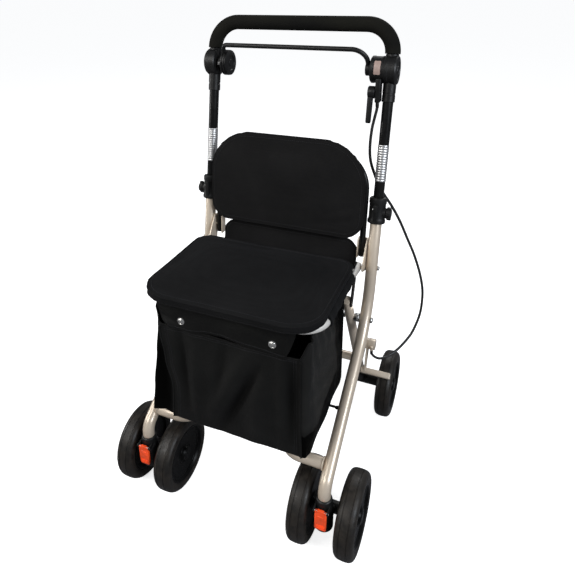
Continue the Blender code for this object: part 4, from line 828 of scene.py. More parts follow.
# %% Window and neck screw
WINDOW_GREY = make_plastic("window_plate", (0.30, 0.215, 0.185), 0.30, 0.42, 800.0, 0.4)


def window_on_barrel(name, x_low, x_high, angle_low, angle_high, radius, corner):
    """A thin plate on a barrel along X. The angles turn from the front upwards."""
    bpy.ops.object.select_all(action="DESELECT")
    bpy.ops.mesh.primitive_plane_add(size=1, location=(0, 0, 0))
    plate = bpy.context.object
    plate.name = name
    plate.scale = (x_high - x_low, (angle_high - angle_low) * radius, 1.0)
    bpy.ops.object.transform_apply(location=True, rotation=True, scale=True)
    bpy.ops.object.mode_set(mode="EDIT")
    bpy.ops.mesh.select_all(action="SELECT")
    bpy.ops.mesh.bevel(offset=corner, segments=4, affect="VERTICES")
    bpy.ops.mesh.poke()
    bpy.ops.mesh.subdivide(number_cuts=3)
    bpy.ops.object.mode_set(mode="OBJECT")
    centre = post_point(0, HUB_Z)
    middle = (angle_low + angle_high) / 2
    for vertex in plate.data.vertices:
        angle = middle + vertex.co.y / radius
        x = (x_low + x_high) / 2 + vertex.co.x
        vertex.co = (x, centre.y - radius * math.cos(angle), centre.z + radius * math.sin(angle))
    modified(healed(plate), "SOLIDIFY", thickness=0.0012, offset=-1)
    bpy.ops.object.shade_smooth_by_angle(angle=math.radians(40))
    return plate


window = window_on_barrel("brake_window", at(0.1532, 0, 0).x, at(0.1648, 0, 0).x, math.radians(-12),
                          math.radians(46), 0.0252, 0.0016)
settled(window, "handle", "black_plastic", WINDOW_GREY)

neck_screw = turned("neck_screw", [(0.0, 0.0), (0.0036, 0.0), (0.0036, -0.0012), (0.0030, -0.0022),
                                   (0.0016, -0.0024), (0.0014, -0.0014), (0.0, -0.0014)],
                    post_point(-0.1640, HUB_Z, 0.0138), (0, 1, 0), 32)
settled(neck_screw, "handle", "steel", STEEL)

# %% [markdown]
# The bar is a thin steel rod in black paint, bent down at one end into the housing and at the other
# into a ribbed disc. Squeezing it against the grip pulls both brakes. Its bends come from the same helper
# as the tubes. The disc and the hub at its ends are turned, and the rod simply runs on into them. One
# sweep for the whole bar would be shorter, but it could not give the disc its ribs.

# %% Brake bar
hub_centre = post_point(0, HUB_Z)
BAR_REACH = Vector((0, -0.0216, 0.037))
right_end = Vector((at(-0.1507, 0, 0).x, hub_centre.y, hub_centre.z))
left_end = Vector((at(0.1390, 0, 0).x, hub_centre.y, hub_centre.z))
rod = bar_along("dressed_brake_bar", bent(
    [right_end + BAR_REACH * 0.35, right_end + BAR_REACH, left_end + BAR_REACH, left_end], [0.011, 0.028],
    math.radians(9)), 0.0044, 6)
disc_profile = [(0.0, -0.0075), (0.0215, -0.0075), (0.0242, -0.0062), (0.0250, -0.0050), (0.0250, -0.0030),
                (0.0236, -0.0024), (0.0236, -0.0008), (0.0250, -0.0002), (0.0250, 0.0022), (0.0236, 0.0028),
                (0.0236, 0.0044), (0.0248, 0.0050), (0.0244, 0.0062), (0.0215, 0.0075), (0.0150, 0.0075),
                (0.0140, 0.0062), (0.0070, 0.0062), (0.0062, 0.0074), (0.0, 0.0074)]
disc = turned("bar_disc", disc_profile, right_end, (1, 0, 0), 64)
bar_hub = turned("bar_hub", rounded_profile(0.0120, -0.0047, 0.0047, 0.0012), left_end, (1, 0, 0), 48)
bar_pin = turned("bar_pin", rounded_profile(0.0040, 0.0, 0.016, 0.0004), left_end, (1, 0, 0), 24)
disc_pin = turned("disc_pin", rounded_profile(0.0040, -0.0140, 0.0, 0.0004), right_end, (1, 0, 0), 24)
settled(merged("dressed_brake_bar", rod, disc, bar_hub, bar_pin, disc_pin), "brake_bar", "black_plastic",
        PLASTIC, "brake_bar")

# %% [markdown]
# The parking lever is a small hub with a tapered blade. The blade is a flat moulding: an outline is
# stretched round two circles, filled, and pushed out to its thickness. Shaping a block point by point
# would give a blade too, but an outline says its size directly, and the same helper later makes the ears
# of the wheel housings and of the seat.

# %% Flat mouldings from an outline
def around(circles, steps=40):
    """The outline of a band stretched round some circles, each given as centre and radius."""
    dots = []
    for (y, z), radius in circles:
        for index in range(steps):
            angle = 2 * math.pi * index / steps
            dots.append((y + radius * math.cos(angle), z + radius * math.sin(angle)))
    dots.sort()
    outline = []
    for run in (dots, dots[::-1]):
        part = []
        for dot in run:
            while len(part) > 1 and ((part[-1][0] - part[-2][0]) * (dot[1] - part[-2][1])
                                     - (part[-1][1] - part[-2][1]) * (dot[0] - part[-2][0])) <= 1e-12:
                part.pop()
            part.append(dot)
        outline += part[:-1]
    return outline


def flat_moulding(name, outline, x_low, x_high, ease=0.0006):
    """A plate square to X between two places, from an outline in Y and Z."""
    plate = drawn_line(name, [at(x_low, y, z) for y, z in outline], closed=True)
    return eased(pushed_out(plate, (x_high - x_low, 0, 0)), ease)


BLADE_REACH, BLADE_TILT = 0.052, math.radians(12)
lever_hub = turned("lever_hub", rounded_profile(0.0112, -0.0133, -0.0003, 0.0016), at(0.158, *LEVER_PIVOT),
                   (1, 0, 0), 48)
tip = (LEVER_PIVOT[0] - BLADE_REACH * math.sin(BLADE_TILT),
       LEVER_PIVOT[1] - BLADE_REACH * math.cos(BLADE_TILT))
blade = flat_moulding("lever_blade", around([(LEVER_PIVOT, 0.0066), (tip, 0.0046)]), 0.1447, 0.1537, 0.0016)
settled(merged("dressed_parking_lever", lever_hub, blade), "parking_lever", "black_plastic", PLASTIC,
        "parking_lever")

# %% [markdown]
# A wheel is two pieces: a solid rubber tyre and a plastic disc that it is stretched on. The tyre's
# section is a closed line, so spinning it gives a ring with no open edge. Its tread has two fine
# grooves. The disc is dished, with a raised cap and two thin rings, because the photograph shows arcs of
# light there. One function makes all six wheels, and each gets a mesh of its own.

# %% Tyres and discs
WHEEL_R = 0.075
CASTER_AXLE_Y = 0.036


def tyre_profile(half):
    """The closed section of a tyre, as radius and distance from its middle."""
    right = [(0.0562, half - 0.0016), (0.0590, half - 0.0004), (0.0630, half), (0.0668, half - 0.0004),
             (0.0700, half - 0.0018), (0.0725, half - 0.0042), (0.0740, half - 0.0074),
             (0.0746, half - 0.0098), (0.0738, half - 0.0104), (0.0738, half - 0.0112),
             (0.0748, half - 0.0118), (0.0750, 0.0)]
    left = [(radius, -distance) for radius, distance in reversed(right[:-1])]
    return right + left


def disc_profile_of(half, outboard):
    """The section of a wheel's disc. Outboard is the side of its cap, +1 or -1."""
    face = half - 0.0015
    section = [(0.0, half - 0.0004), (0.0090, half - 0.0004), (0.0098, half - 0.0012),
               (0.0126, half - 0.0012), (0.0140, half - 0.0026), (0.0152, face - 0.0046),
               (0.0175, face - 0.0052), (0.0180, face - 0.0044), (0.0195, face - 0.0044),
               (0.0200, face - 0.0052),
               (0.0440, face - 0.0044), (0.0445, face - 0.0036), (0.0462, face - 0.0036),
               (0.0468, face - 0.0042), (0.0500, face - 0.0038), (0.0520, face - 0.0012),
               (0.0532, face), (0.0558, face), (0.0558, -face), (0.0532, -face), (0.0515, 0.0020 - face),
               (0.0470, 0.0036 - face), (0.0200, 0.0042 - face), (0.0170, 0.0030 - face), (0.0150, -half),
               (0.0, -half)]
    return [(radius, distance * outboard) for radius, distance in section]


def dress_wheel(name, body, x, y, half, outboard):
    centre = at(x, y, WHEEL_R)
    tyre = turned("dressed_tyre_" + name, tyre_profile(half), centre, (1, 0, 0), 96, True)
    settled(tyre, body, "tyre_rubber", RUBBER, "tyre_" + name)
    disc = turned("dressed_disc_" + name, disc_profile_of(half, outboard), centre, (1, 0, 0), 80)
    settled(disc, body, "hub_plastic", HUB_BLACK, "hub_" + name)


for side, tag in SIDES:
    for place, wheel_side in (("outer", side), ("inner", -side)):
        dress_wheel("%s_%s" % (place, tag), "caster_wheel_%s_%s" % (place, tag),
                    side * HALF_TRACK + wheel_side * 0.043, CASTER_AXLE_Y, 0.018, wheel_side)
    dress_wheel("rear_" + tag, "rear_wheel_" + tag, side * 0.212, REAR_AXLE[0], 0.017, side)

# %% [markdown]
# The front wheels hang in pairs from a swivelling housing. Its upright barrel turns under the main tube,
# and an arm behind it carries the axle. In front sits the orange lever that locks the swivel: a plate
# between two ears, notched at its upper corners and ribbed for the toe. It is drawn as an outline seen
# from the front and pushed out to its thickness.

# %% Front wheel housings and lock levers
def front_plate(name, outline, y_low, y_high, ease=0.0006):
    """A plate square to Y, from an outline in X and Z."""
    plate = drawn_line(name, [at(x, y_low, z) for x, z in outline], closed=True)
    return eased(pushed_out(plate, (0, y_high - y_low, 0)), ease)


PIN_Y, PIN_Z = -0.01955, 0.12525
for side, tag in SIDES:
    x = side * HALF_TRACK
    barrel = turned("barrel", [(0.0, 0.0703), (0.0140, 0.0703), (0.0163, 0.0722), (0.0165, 0.0740),
                               (0.0165, 0.0905), (0.0160, 0.0910), (0.0160, 0.0935), (0.0165, 0.0940),
                               (0.0165, 0.1225), (0.0158, 0.1240), (0.0150, 0.1270), (0.0144, 0.1345),
                               (0.0138, 0.1372), (0.0120, 0.1386), (0.0, 0.1386)], at(x, 0, 0), (0, 0, 1), 56)
    reach = 0.0243
    hub_place = at(x, CASTER_AXLE_Y, WHEEL_R)
    boss = turned("boss", rounded_profile(0.0110, -reach, reach, 0.0014), hub_place, (1, 0, 0), 44)
    arm = eased(block("arm", at(x - 0.0118, 0.004, 0.0716), at(x + 0.0118, CASTER_AXLE_Y, 0.0852)),
                0.0030, 38, 3)
    brace = flat_moulding("brace", [(0.010, 0.084), (0.033, 0.0840), (0.030, 0.0890), (0.0155, 0.1130),
                                    (0.010, 0.1150)], x - 0.0035, x + 0.0035, 0.0010)
    foot = turned("foot", rounded_profile(0.0040, 0.0632, 0.0720, 0.0010), at(x, 0, 0), (0, 0, 1), 24)
    stem = turned("stem", rounded_profile(0.0050, 0.1370, 0.1505, 0.0006), at(x, 0, 0), (0, 0, 1), 24)
    pieces = [barrel, boss, arm, brace, foot, stem]
    for ear in (-1, 1):
        inner = x + ear * 0.0109
        outer = x + ear * 0.0136
        pieces.append(flat_moulding("ear", around([((PIN_Y, PIN_Z), 0.0030), ((-0.0085, PIN_Z), 0.0050)], 28),
                                    min(inner, outer), max(inner, outer), 0.0006))
    housing = merged("dressed_housing_" + tag, *pieces)
    settled(housing, "caster_" + tag, "black_plastic", PLASTIC, "caster_housing_" + tag)
    pin = turned("dressed_lock_pin_" + tag, rounded_profile(0.0015, -0.0139, 0.0139, 0.0004),
                 at(x, PIN_Y, PIN_Z), (1, 0, 0), 20)
    settled(pin, "caster_" + tag, "steel", STEEL)
    axle = turned("dressed_axle_" + tag, rounded_profile(0.0040, -0.0575, 0.0575, 0.0006), hub_place,
                  (1, 0, 0), 28)
    settled(axle, "caster_" + tag, "steel", STEEL, "caster_axle_" + tag)

    half_outline = [(0.0052, 0.1279), (0.0064, 0.1272), (0.0066, 0.1215), (0.0104, 0.1206), (0.0105, 0.0880),
                    (0.0098, 0.0848), (0.0080, 0.0834)]
    outline = [(x + a, z) for a, z in half_outline] + [(x - a, z) for a, z in reversed(half_outline)]
    plate = front_plate("lock_plate", outline, -0.0222, -0.0170, 0.0007)
    shoulders = [block("shoulder", at(x + ear * 0.0085 - 0.0019, -0.0220, 0.1208),
                       at(x + ear * 0.0085 + 0.0019, -0.0172, 0.1266)) for ear in (-1, 1)]
    shoulders = [eased(piece, 0.0012) for piece in shoulders]
    ribs = [eased(block("rib", at(x - 0.0078, -0.0233, z), at(x + 0.0078, -0.0215, z + 0.0016)), 0.0006)
            for z in (0.0868, 0.0902, 0.0936)]
    dome = eased(block("dome", at(x - 0.0060, -0.0230, 0.0985), at(x + 0.0060, -0.0212, 0.1165)),
                 0.0012, 38, 3)
    lock = merged("dressed_lock_" + tag, plate, dome, *shoulders, *ribs)
    settled(lock, "lock_lever_" + tag, "orange_plastic", ORANGE, "lock_lever_" + tag)

# %% [markdown]
# Some steel and plastic pieces are already right in the measured model, apart from their hard edges: the
# hinge plates, bolts, brake brackets, brake arms and links. A copy of each is welded, its flat faces are
# dissolved into single ones, and every edge gets the small radius that stamping or moulding leaves. The
# model's own pieces stay untouched, as the frame needs them.

# %% Plates, bolts and brake pieces
def softened(node, width, angle=36):
    """A welded copy of a model's node, with eased edges."""
    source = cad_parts[node]
    copy = bpy.data.objects.new("dressed_" + node, source.data.copy())
    bpy.context.scene.collection.objects.link(copy)
    only(copy)
    bpy.ops.object.mode_set(mode="EDIT")
    bpy.ops.mesh.select_all(action="SELECT")
    bpy.ops.mesh.remove_doubles(threshold=0.00002)
    bpy.ops.mesh.dissolve_limited(angle_limit=math.radians(1))
    bpy.ops.mesh.normals_make_consistent(inside=False)
    bpy.ops.object.mode_set(mode="OBJECT")
    return eased(copy, width, angle)


for side, tag in SIDES:
    for node, body, slot, finish, width in (
        ("hinge_plate_", "frame", "beige_paint", CHAMPAGNE, 0.0004),
        ("cross_bolt_", "frame", "steel", STEEL, 0.0004),
        ("stem_bushing_", "frame", "black_plastic", PLASTIC, 0.0003),
        ("brake_bracket_", "rear_frame", "beige_paint", CHAMPAGNE, 0.0005),
        ("brake_arm_", "brake_arm_" + tag, "beige_paint", CHAMPAGNE, 0.0005),
        ("fold_link_", "fold_link_" + tag, "black_paint", BLACK_PAINT, 0.0004),
    ):
        settled(softened(node + tag, width), body, slot, finish, node + tag)
    x = side * (HALF_TRACK + TUBE_R + 0.0009)
    for label, y, z, radius in (("cross", *CROSS, 0.0056), ("hinge", 0.28184, 0.437, 0.0046)):
        outward = Vector((side, 0, 0))
        head = turned("%s_head_%s" % (label, tag), [(0.0, 0.0), (radius, 0.0), (radius, 0.0012),
                      (radius * 0.82, 0.0028), (radius * 0.45, 0.0034), (radius * 0.40, 0.0022),
                      (0.0, 0.0022)], at(x, y, z), outward, 32)
        settled(head, "frame", "steel", STEEL)

# %% [markdown]
# At the foot of each rear leg a moulded boss holds the leg in a socket and carries the wheel's axle. The
# socket leans with the leg, so it is turned round the leg's own line. The boss across it is a second
# turned piece, joined where the two cross, as in the real moulding.

# %% Axle bosses
for side, tag in SIDES:
    foot = leg_point(side, -LEG_LENGTH)
    rise = (leg_point(side, 0) - foot).normalized()
    socket = turned("socket", [(0.0, -0.004), (0.0105, -0.004), (0.0128, -0.001), (0.0130, 0.002),
                               (0.0130, 0.0330), (0.0136, 0.0336), (0.0136, 0.0400), (0.0128, 0.0416),
                               (0.0098, 0.0420)], foot, rise, 48)
    boss = turned("boss", [(0.0, -0.0110), (0.0122, -0.0110), (0.0135, -0.0096), (0.0135, 0.0385),
                           (0.0124, 0.0398), (0.0, 0.0398)], at(side * LEG_X, *REAR_AXLE), (side, 0, 0), 48)
    stub = turned("stub", rounded_profile(0.0050, 0.036, 0.0755, 0.0006), at(side * LEG_X, *REAR_AXLE),
                  (side, 0, 0), 28)
    settled(merged("dressed_boss_" + tag, socket, boss, stub), "rear_frame", "black_plastic", PLASTIC,
            "axle_boss_" + tag)

# %% [markdown]
# The seat rests on a U of tube that swings up when the walker is folded. Its paint is a lighter copy of
# the champagne paint, as painted light on this tube. Its ends are flat ears with the pivot and the
# link's pin. The backrest has a thinner black hoop behind its pad. Both are bent tubes again, so the
# same helper draws them.

# %% Seat frame and backrest hoop
SEAT_Z = 0.450
seat_path = bent([at(-0.157, 0.228, SEAT_Z), at(-0.157, 0.028, SEAT_Z), at(0.157, 0.028, SEAT_Z),
                  at(0.157, 0.228, SEAT_Z)], [0.040] * 2, math.radians(5))
seat_pieces = [bar_along("seat_tube", seat_path, 0.0079, 8)]
for side, tag in SIDES:
    ends = sorted((side * 0.1599, side * 0.1628))
    outline = around([((0.205, SEAT_Z), 0.0064), ((0.228, SEAT_Z), 0.0064), ((0.246, 0.455), 0.0078),
                      ((0.262, 0.444), 0.0078)], 36)
    seat_pieces.append(flat_moulding("ear", outline, *ends))
    seat_pieces.append(turned("link_pin", rounded_profile(0.0030, 0.0, 0.0056, 0.0005),
                              at(side * 0.1559, 0.246, 0.455), (side, 0, 0), 24))
# The seat frame wears the lighter copy of the champagne paint, as painted light
settled(merged("dressed_seat_frame", *seat_pieces), "seat", "beige_paint", PAINTED_LIGHT_CHAMPAGNE, "seat_frame")


def back_point(x, z, ahead=0.0):
    """A place on the backrest's leaning hoop, or in front of it."""
    return at(x, 0.2882 + (z - 0.4545) * math.tan(math.radians(6)) - ahead, z)


hoop_path = bent([back_point(-0.157, 0.4545), back_point(-0.157, 0.658), back_point(0.157, 0.658),
                  back_point(0.157, 0.4545)], [0.072] * 2, math.radians(5))
settled(bar_along("dressed_back_hoop", hoop_path, 0.0059, 7), "frame", "black_paint", BLACK_PAINT,
        "backrest_frame")

# %% [markdown]
# The brake cable leaves the housing inboard of the post, passes behind it, bows out beside the frame and
# comes back to the rear brake. Its route repeats the model's own points, with a smooth curve through
# them. It is held at both ends, where a short ferrule takes the sheath. It is made as two halves, an
# upper one from the handle and a lower one that runs on to the rear brake. The sheath is 0.3 mm
# thicker all round than the model's, nearer to the photograph.

# %% Brake cable
CABLE_ROUTE = [
    (0.1622, 0.333, 0.7496), (0.1620, 0.333, 0.738), (0.1585, 0.3308, 0.718), (0.1555, 0.3295, 0.699),
    (0.1538, 0.329, 0.670), (0.1550, 0.331, 0.643), (0.1610, 0.334, 0.619), (0.1765, 0.340, 0.580),
    (0.1985, 0.355, 0.539), (0.2140, 0.372, 0.501), (0.2300, 0.391, 0.453), (0.2430, 0.406, 0.414),
    (0.2560, 0.421, 0.366), (0.2645, 0.432, 0.320), (0.2662, 0.437, 0.279), (0.2632, 0.436, 0.242),
    (0.2530, 0.425, 0.205), (0.2400, 0.409, 0.184), (0.2250, 0.391, 0.169), (0.2095, 0.373, 0.162),
    (0.1965, 0.357, 0.164), (0.1870, 0.3450, 0.174), (0.1803, 0.3372, 0.187), (0.1795, 0.3365, 0.1965),
]


def smooth_route(route, count):
    """Points along a smooth curve through a route's own points."""
    spots = [Vector(p) for p in route]
    ends = [2 * spots[0] - spots[1]] + spots + [2 * spots[-1] - spots[-2]]
    out = []
    spans = len(spots) - 1
    for index in range(count):
        place = index * spans / (count - 1)
        k = min(int(place), spans - 1)
        t = place - k
        a, b, c, d = ends[k:k + 4]
        out.append(0.5 * ((2 * b) + (c - a) * t + (2 * a - 5 * b + 4 * c - d) * t * t
                          + (3 * b - 3 * c + d - a) * t * t * t))
    return out


cable_points = [at(*p) for p in smooth_route(CABLE_ROUTE, 150)]
CABLE_MIDDLE = 76
SHEATH_R = 0.0028


def bending_half(name, points, first_body, second_body):
    """A stretch of cable along points, in the sheath's finish. The two bodies are only named in a print."""
    half = bar_along(name, points, SHEATH_R, 4)
    half.data.materials.clear()
    half.data.materials.append(SHEATH)
    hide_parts("brake_cable")
    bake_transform(half)
    print(name, "bends from", first_body, "to", second_body)


bending_half("dressed_cable_upper", cable_points[:CABLE_MIDDLE + 1], "handle", "frame")
bending_half("dressed_cable_lower", cable_points[CABLE_MIDDLE:], "frame", "rear_frame")
for label, body, first, second in (("upper", "handle", 0, 3), ("lower", "rear_frame", -1, -4)):
    start = cable_points[first]
    along = (cable_points[second] - start).normalized()
    ferrule = turned("ferrule_" + label, [(0.0, -0.0012), (0.0031, -0.0012), (0.0033, -0.0008),
                                          (0.0033, 0.0060), (0.0029, 0.0090), (0.0026, 0.0100),
                                          (0.0, 0.0100)], start, along, 28)
    settled(ferrule, body, "black_plastic", PLASTIC)

# %% [markdown]
# The soft parts are black polyester: a heavier weave on the seat and backrest, a thin coated one on the
# bag. Up close a weave is ridges along two directions, and from afar cloth is told by its soft sheen
# and its uneven, slightly faded tone. The threads are three sets of fine waves along the axes, so they
# show on any side of a piece with no map of its surface. Creases are a slower noise under them.

# %% Cloth
def make_cloth(name, colour, faded, pitch, crinkle, crinkle_depth, roughness, specular, sheen):
    look = new_finish(name, colour, roughness, 0.0, specular)
    shader = shader_of(look)
    shader.inputs["Sheen Weight"].default_value = sheen
    shader.inputs["Sheen Roughness"].default_value = 0.45
    shader.inputs["Sheen Tint"].default_value = (0.60, 0.61, 0.66, 1.0)
    crossed = combined(look, "MAXIMUM", threads(look, pitch, "X"), threads(look, pitch, "Y"))
    weave = combined(look, "ADD", crossed, threads(look, pitch, "Z"))
    wear = ranged(look, noise(look, 9.0, 4.0, 0.6), 0.35, 0.7, 0.0, 1.0)
    tone = combined(look, "ADD", combined(look, "MULTIPLY", wear, 0.7),
                    combined(look, "MULTIPLY", weave, 0.18))
    tinted(look, tone, colour, faded)
    creases = bumped(look, noise(look, crinkle, 5.0, 0.55), crinkle_depth, 0.8)
    bumped(look, weave, pitch * 0.16, 0.55, creases)
    return look


def painted_shade_by(look, name):
    """Paints shade and light into a cloth by a value stored on its points: 1 is black painted shade, below 0
    is painted light. Its shine is dimmed with the colour.
    """
    tree, shader = look.node_tree, shader_of(look)
    mark = tree.nodes.new("ShaderNodeAttribute")
    mark.attribute_name = name
    kept = combined(look, "SUBTRACT", 1.0, mark.outputs["Fac"])
    mix = tree.nodes.new("ShaderNodeMix")
    mix.data_type = "RGBA"
    mix.blend_type = "MULTIPLY"
    mix.inputs[0].default_value = 1.0
    tree.links.new(shader.inputs["Base Color"].links[0].from_socket, mix.inputs[6])
    tree.links.new(kept, mix.inputs[7])
    tree.links.new(mix.outputs[2], shader.inputs["Base Color"])
    shine = combined(look, "MULTIPLY", kept, shader.inputs["Specular IOR Level"].default_value)
    tree.links.new(shine, shader.inputs["Specular IOR Level"])
    return look


SEAT_CLOTH = make_cloth("seat_fabric", (0.0050, 0.0050, 0.0052), (0.0100, 0.0099, 0.0102), 0.0011, 26.0,
                        0.0012, 0.78, 0.07, 0.030)
BACK_CLOTH = make_cloth("back_fabric", (0.0056, 0.0054, 0.0055), (0.0108, 0.0104, 0.0104), 0.0011, 24.0,
                        0.0012, 0.80, 0.09, 0.050)
BAG_CLOTH = make_cloth("bag_fabric", (0.0036, 0.0036, 0.0034), (0.0090, 0.0090, 0.0084), 0.0007, 34.0,
                       0.0018, 0.56, 0.090, 0.020)
# The bag's cloth takes its painted shade and painted light from the values on its points
painted_shade_by(BAG_CLOTH, "shade")
THREAD = make_cloth("sewing_thread", (0.011, 0.011, 0.012), (0.018, 0.018, 0.019), 0.0004, 300.0, 0.00005,
                    0.8, 0.2, 0.1)
WEBBING = make_cloth("webbing", (0.006, 0.006, 0.006), (0.012, 0.012, 0.012), 0.0016, 60.0, 0.0004, 0.8,
                     0.15, 0.1)
print("cloths:", [m.name for m in (SEAT_CLOTH, BACK_CLOTH, BAG_CLOTH, THREAD, WEBBING)])

# %% [markdown]
# A cushion is a flat cover filled with foam, so it is fullest in the middle and pulled in at its seams.
# Blender's cloth does this as an upholsterer would: a thin shape is welded shut, blown up by a little
# pressure, and stopped before it becomes a balloon. Its underside is held, because it lies on the tube.

# %% A pad's shape, and blowing it up
def clamped(value):
    """A value held between 0 and 1."""
    return max(0.0, min(1.0, value))


def rounded_outline(half_x, half_y, low_r, high_r, inset=0.0, steps=14):
    """Points round a rectangle with rounded corners, each with its outward direction."""
    out = []
    for corner, (sx, sy) in enumerate(((1, -1), (1, 1), (-1, 1), (-1, -1))):
        radius = high_r if sy > 0 else low_r
        centre = Vector((sx * (half_x - radius), sy * (half_y - radius), 0))
        for index in range(steps + 1):
            angle = math.radians(-90 + corner * 90 + 90 * index / steps)
            out_way = Vector((math.cos(angle), math.sin(angle), 0))
            out.append((centre + out_way * (radius - inset), out_way))
    return out


def even_spaced(outline, spacing):
    """The same ring of points, at even distances."""
    spots = [p for p, way in outline] + [outline[0][0]]
    ways = [way for p, way in outline] + [outline[0][1]]
    total = sum((b - a).length for a, b in zip(spots, spots[1:]))
    count = max(8, round(total / spacing))
    out = []
    k, gone = 0, 0.0
    for index in range(count):
        target = total * index / count
        while gone + (spots[k + 1] - spots[k]).length < target:
            gone += (spots[k + 1] - spots[k]).length
            k += 1
        span = (spots[k + 1] - spots[k]).length
        t = (target - gone) / span if span > 0 else 0.0
        out.append((spots[k].lerp(spots[k + 1], t), ways[k].lerp(ways[k + 1], t).normalized()))
    return out


def pad_blank(name, half_x, half_y, low_r, high_r, thickness, voxel):
    """A flat closed pad about the origin, remeshed into small even faces."""
    ring = [p for p, way in rounded_outline(half_x, half_y, low_r, high_r)]
    pad = pushed_out(drawn_line(name, ring, closed=True), (0, 0, thickness))
    return modified(pad, "REMESH", mode="VOXEL", voxel_size=voxel)


def edge_gap(x, y, half_x, half_y, radius):
    """How far inside a rounded rectangle a place lies."""
    ox, oy = abs(x) - (half_x - radius), abs(y) - (half_y - radius)
    return radius - math.hypot(max(ox, 0.0), max(oy, 0.0)) - min(max(ox, oy), 0.0)


def blown_up(pad, half_x, half_y, low_r, high_r, thickness, pressure, most, crown):
    """Its border stays in shape."""
    start = [v.co.copy() for v in pad.data.vertices]
    only(pad)
    held = pad.vertex_groups.new(name="held")
    for vertex in pad.data.vertices:
        gap = edge_gap(vertex.co.x, vertex.co.y, half_x, half_y, low_r if vertex.co.y < 0 else high_r)
        grip = 1.0 if vertex.co.z < thickness * 0.45 else clamped((0.0075 - gap) / 0.0035)
        if grip > 0.0:
            held.add([vertex.index], grip, "REPLACE")
    bpy.ops.object.modifier_add(type="CLOTH")
    cloth = pad.modifiers[-1]
    cloth.settings.quality = 5
    cloth.settings.mass = 0.25
    cloth.settings.tension_stiffness = 8
    cloth.settings.compression_stiffness = 4
    cloth.settings.shear_stiffness = 3
    cloth.settings.bending_stiffness = 0.5
    cloth.settings.vertex_group_mass = "held"
    cloth.settings.use_pressure = True
    cloth.settings.uniform_pressure_force = pressure
    cloth.settings.effector_weights.gravity = 0
    for number in range(1, 21):
        bpy.context.scene.frame_set(number)
    bpy.ops.object.modifier_apply(modifier=cloth.name)
    bpy.context.scene.frame_set(1)
    for vertex, before in zip(pad.data.vertices, start):
        move = vertex.co - before
        if move.length > most:
            vertex.co = before + move.normalized() * most
        vertex.co.z = max(vertex.co.z, 0.0)
    modified(pad, "SMOOTH", factor=0.5, iterations=3)
    rise = [v.co.z for v in pad.data.vertices]
    print(pad.name, "is blown up to", round(max(rise) * 1000, 1), "mm")
    return pad


def creased(pad, lines, way=Vector((0, 0, -1))):
    """Presses soft creases into a pad's upper side. Each line gives two ends, a width and a depth."""
    for vertex in pad.data.vertices:
        if vertex.co.z < 0.004:
            continue
        for (ax, ay), (bx, by), width, depth in lines:
            a, b = Vector((ax, ay)), Vector((bx, by))
            p = Vector((vertex.co.x, vertex.co.y))
            t = clamped((p - a).dot(b - a) / (b - a).length_squared)
            far = (p - a.lerp(b, t)).length
            fade = math.sin(math.pi * (0.12 + 0.76 * t))
            vertex.co += way * depth * fade * math.exp(-(far / width) ** 2)
    return pad


def smoothed(pad, levels=1):
    modified(pad, "SUBSURF", levels=levels, render_levels=levels)
    bpy.ops.object.shade_smooth()
    return pad


def stood(piece, stand):
    piece.data.transform(stand)
    return piece


print("pads are blown up by", "cloth simulation")

# %% [markdown]
# Seams hold a cushion's cover together. A round piping runs along the edge where the top meets the
# border, and a row of stitches follows it on the top. Both are laid on the finished cushion by casting
# rays at it, so that they touch it everywhere. A remesh would erase such thin lines, so they come last.

# %% Piping and stitches laid on a pad
def surface_of(piece):
    """A piece's faces, ready for rays to be cast at them."""
    return BVHTree.FromPolygons([v.co for v in piece.data.vertices],
                                [p.vertices for p in piece.data.polygons])


def hit(surface, start, way):
    """Where a ray meets a surface, or None."""
    place, normal, face, distance = surface.ray_cast(start, way.normalized())
    return (place, normal) if place else None


def piping_round(name, pad, outline, height, stand, radius, sink=0.0004):
    """A closed cord round a pad's side at a height."""
    turn = stand.to_3x3()
    surface = surface_of(pad)
    points = []
    for p, way in outline:
        start = stand @ (p + way * 0.04 + Vector((0, 0, height)))
        met = hit(surface, start, turn @ -way)
        if met:
            points.append(met[0] + (turn @ way) * (radius - sink))
    line = drawn_line(name, points, closed=True, radius=radius, rounding=3)
    healed(line)
    bpy.ops.object.shade_smooth()
    return line


def stitches(name, pad, spots, way, length=0.0026, radius=0.00042):
    """Short threads laid on a piece below the spots, which are pairs of a place and a direction."""
    line = empty_curve(name)
    surface = surface_of(pad)
    for place, along in spots:
        met = hit(surface, place, way)
        if not met:
            continue
        spot_on, normal = met
        along = (along - normal * along.dot(normal)).normalized()
        lifted = spot_on + normal * radius * 0.4
        run_through(line, [lifted + along * length * share + normal * radius * rise
                           for share, rise in ((-0.5, -0.5), (-0.3, 0.5), (0.3, 0.5), (0.5, -0.5))])
    line.data.bevel_depth = radius
    line.data.bevel_resolution = 1
    line.data.use_fill_caps = True
    bpy.ops.object.convert(target="MESH")
    bpy.ops.object.shade_smooth()
    return bpy.context.object


def stitches_round(name, pad, outline, stand, spacing=0.0042):
    """A row of stitches on a pad's top, along an outline."""
    turn = stand.to_3x3()
    ring = even_spaced(outline, spacing)
    spots = []
    for (p, way), (after, far) in zip(ring, ring[1:] + ring[:1]):
        spots.append((stand @ (p + Vector((0, 0, 0.06))), turn @ (after - p)))
    return stitches(name, pad, spots, turn @ Vector((0, 0, -1)))


def sewn_edges(pad, edge, stand, cords, row, inset, body, slot, cloth):
    """Lays piping round a pad's border, and a row of stitches so far inside its outline."""
    ring = even_spaced(rounded_outline(*edge), 0.004)
    for name, height, radius in cords:
        settled(piping_round(name, pad, ring, height, stand, radius), body, slot, cloth)
    settled(stitches_round(row, pad, rounded_outline(*edge, inset), stand), body, slot, THREAD)


# %% [markdown]
# The seat cushion is a thin flat pad whose front corners are rounder than its rear ones. A low border
# joins its two panels, so piping runs along both edges of that border. It is blown up from a flat blank,
# then drawn in a little at the middle of each side, as a filled cover is. A box with rounded edges would
# keep its sides straight, which no sewn cushion does.

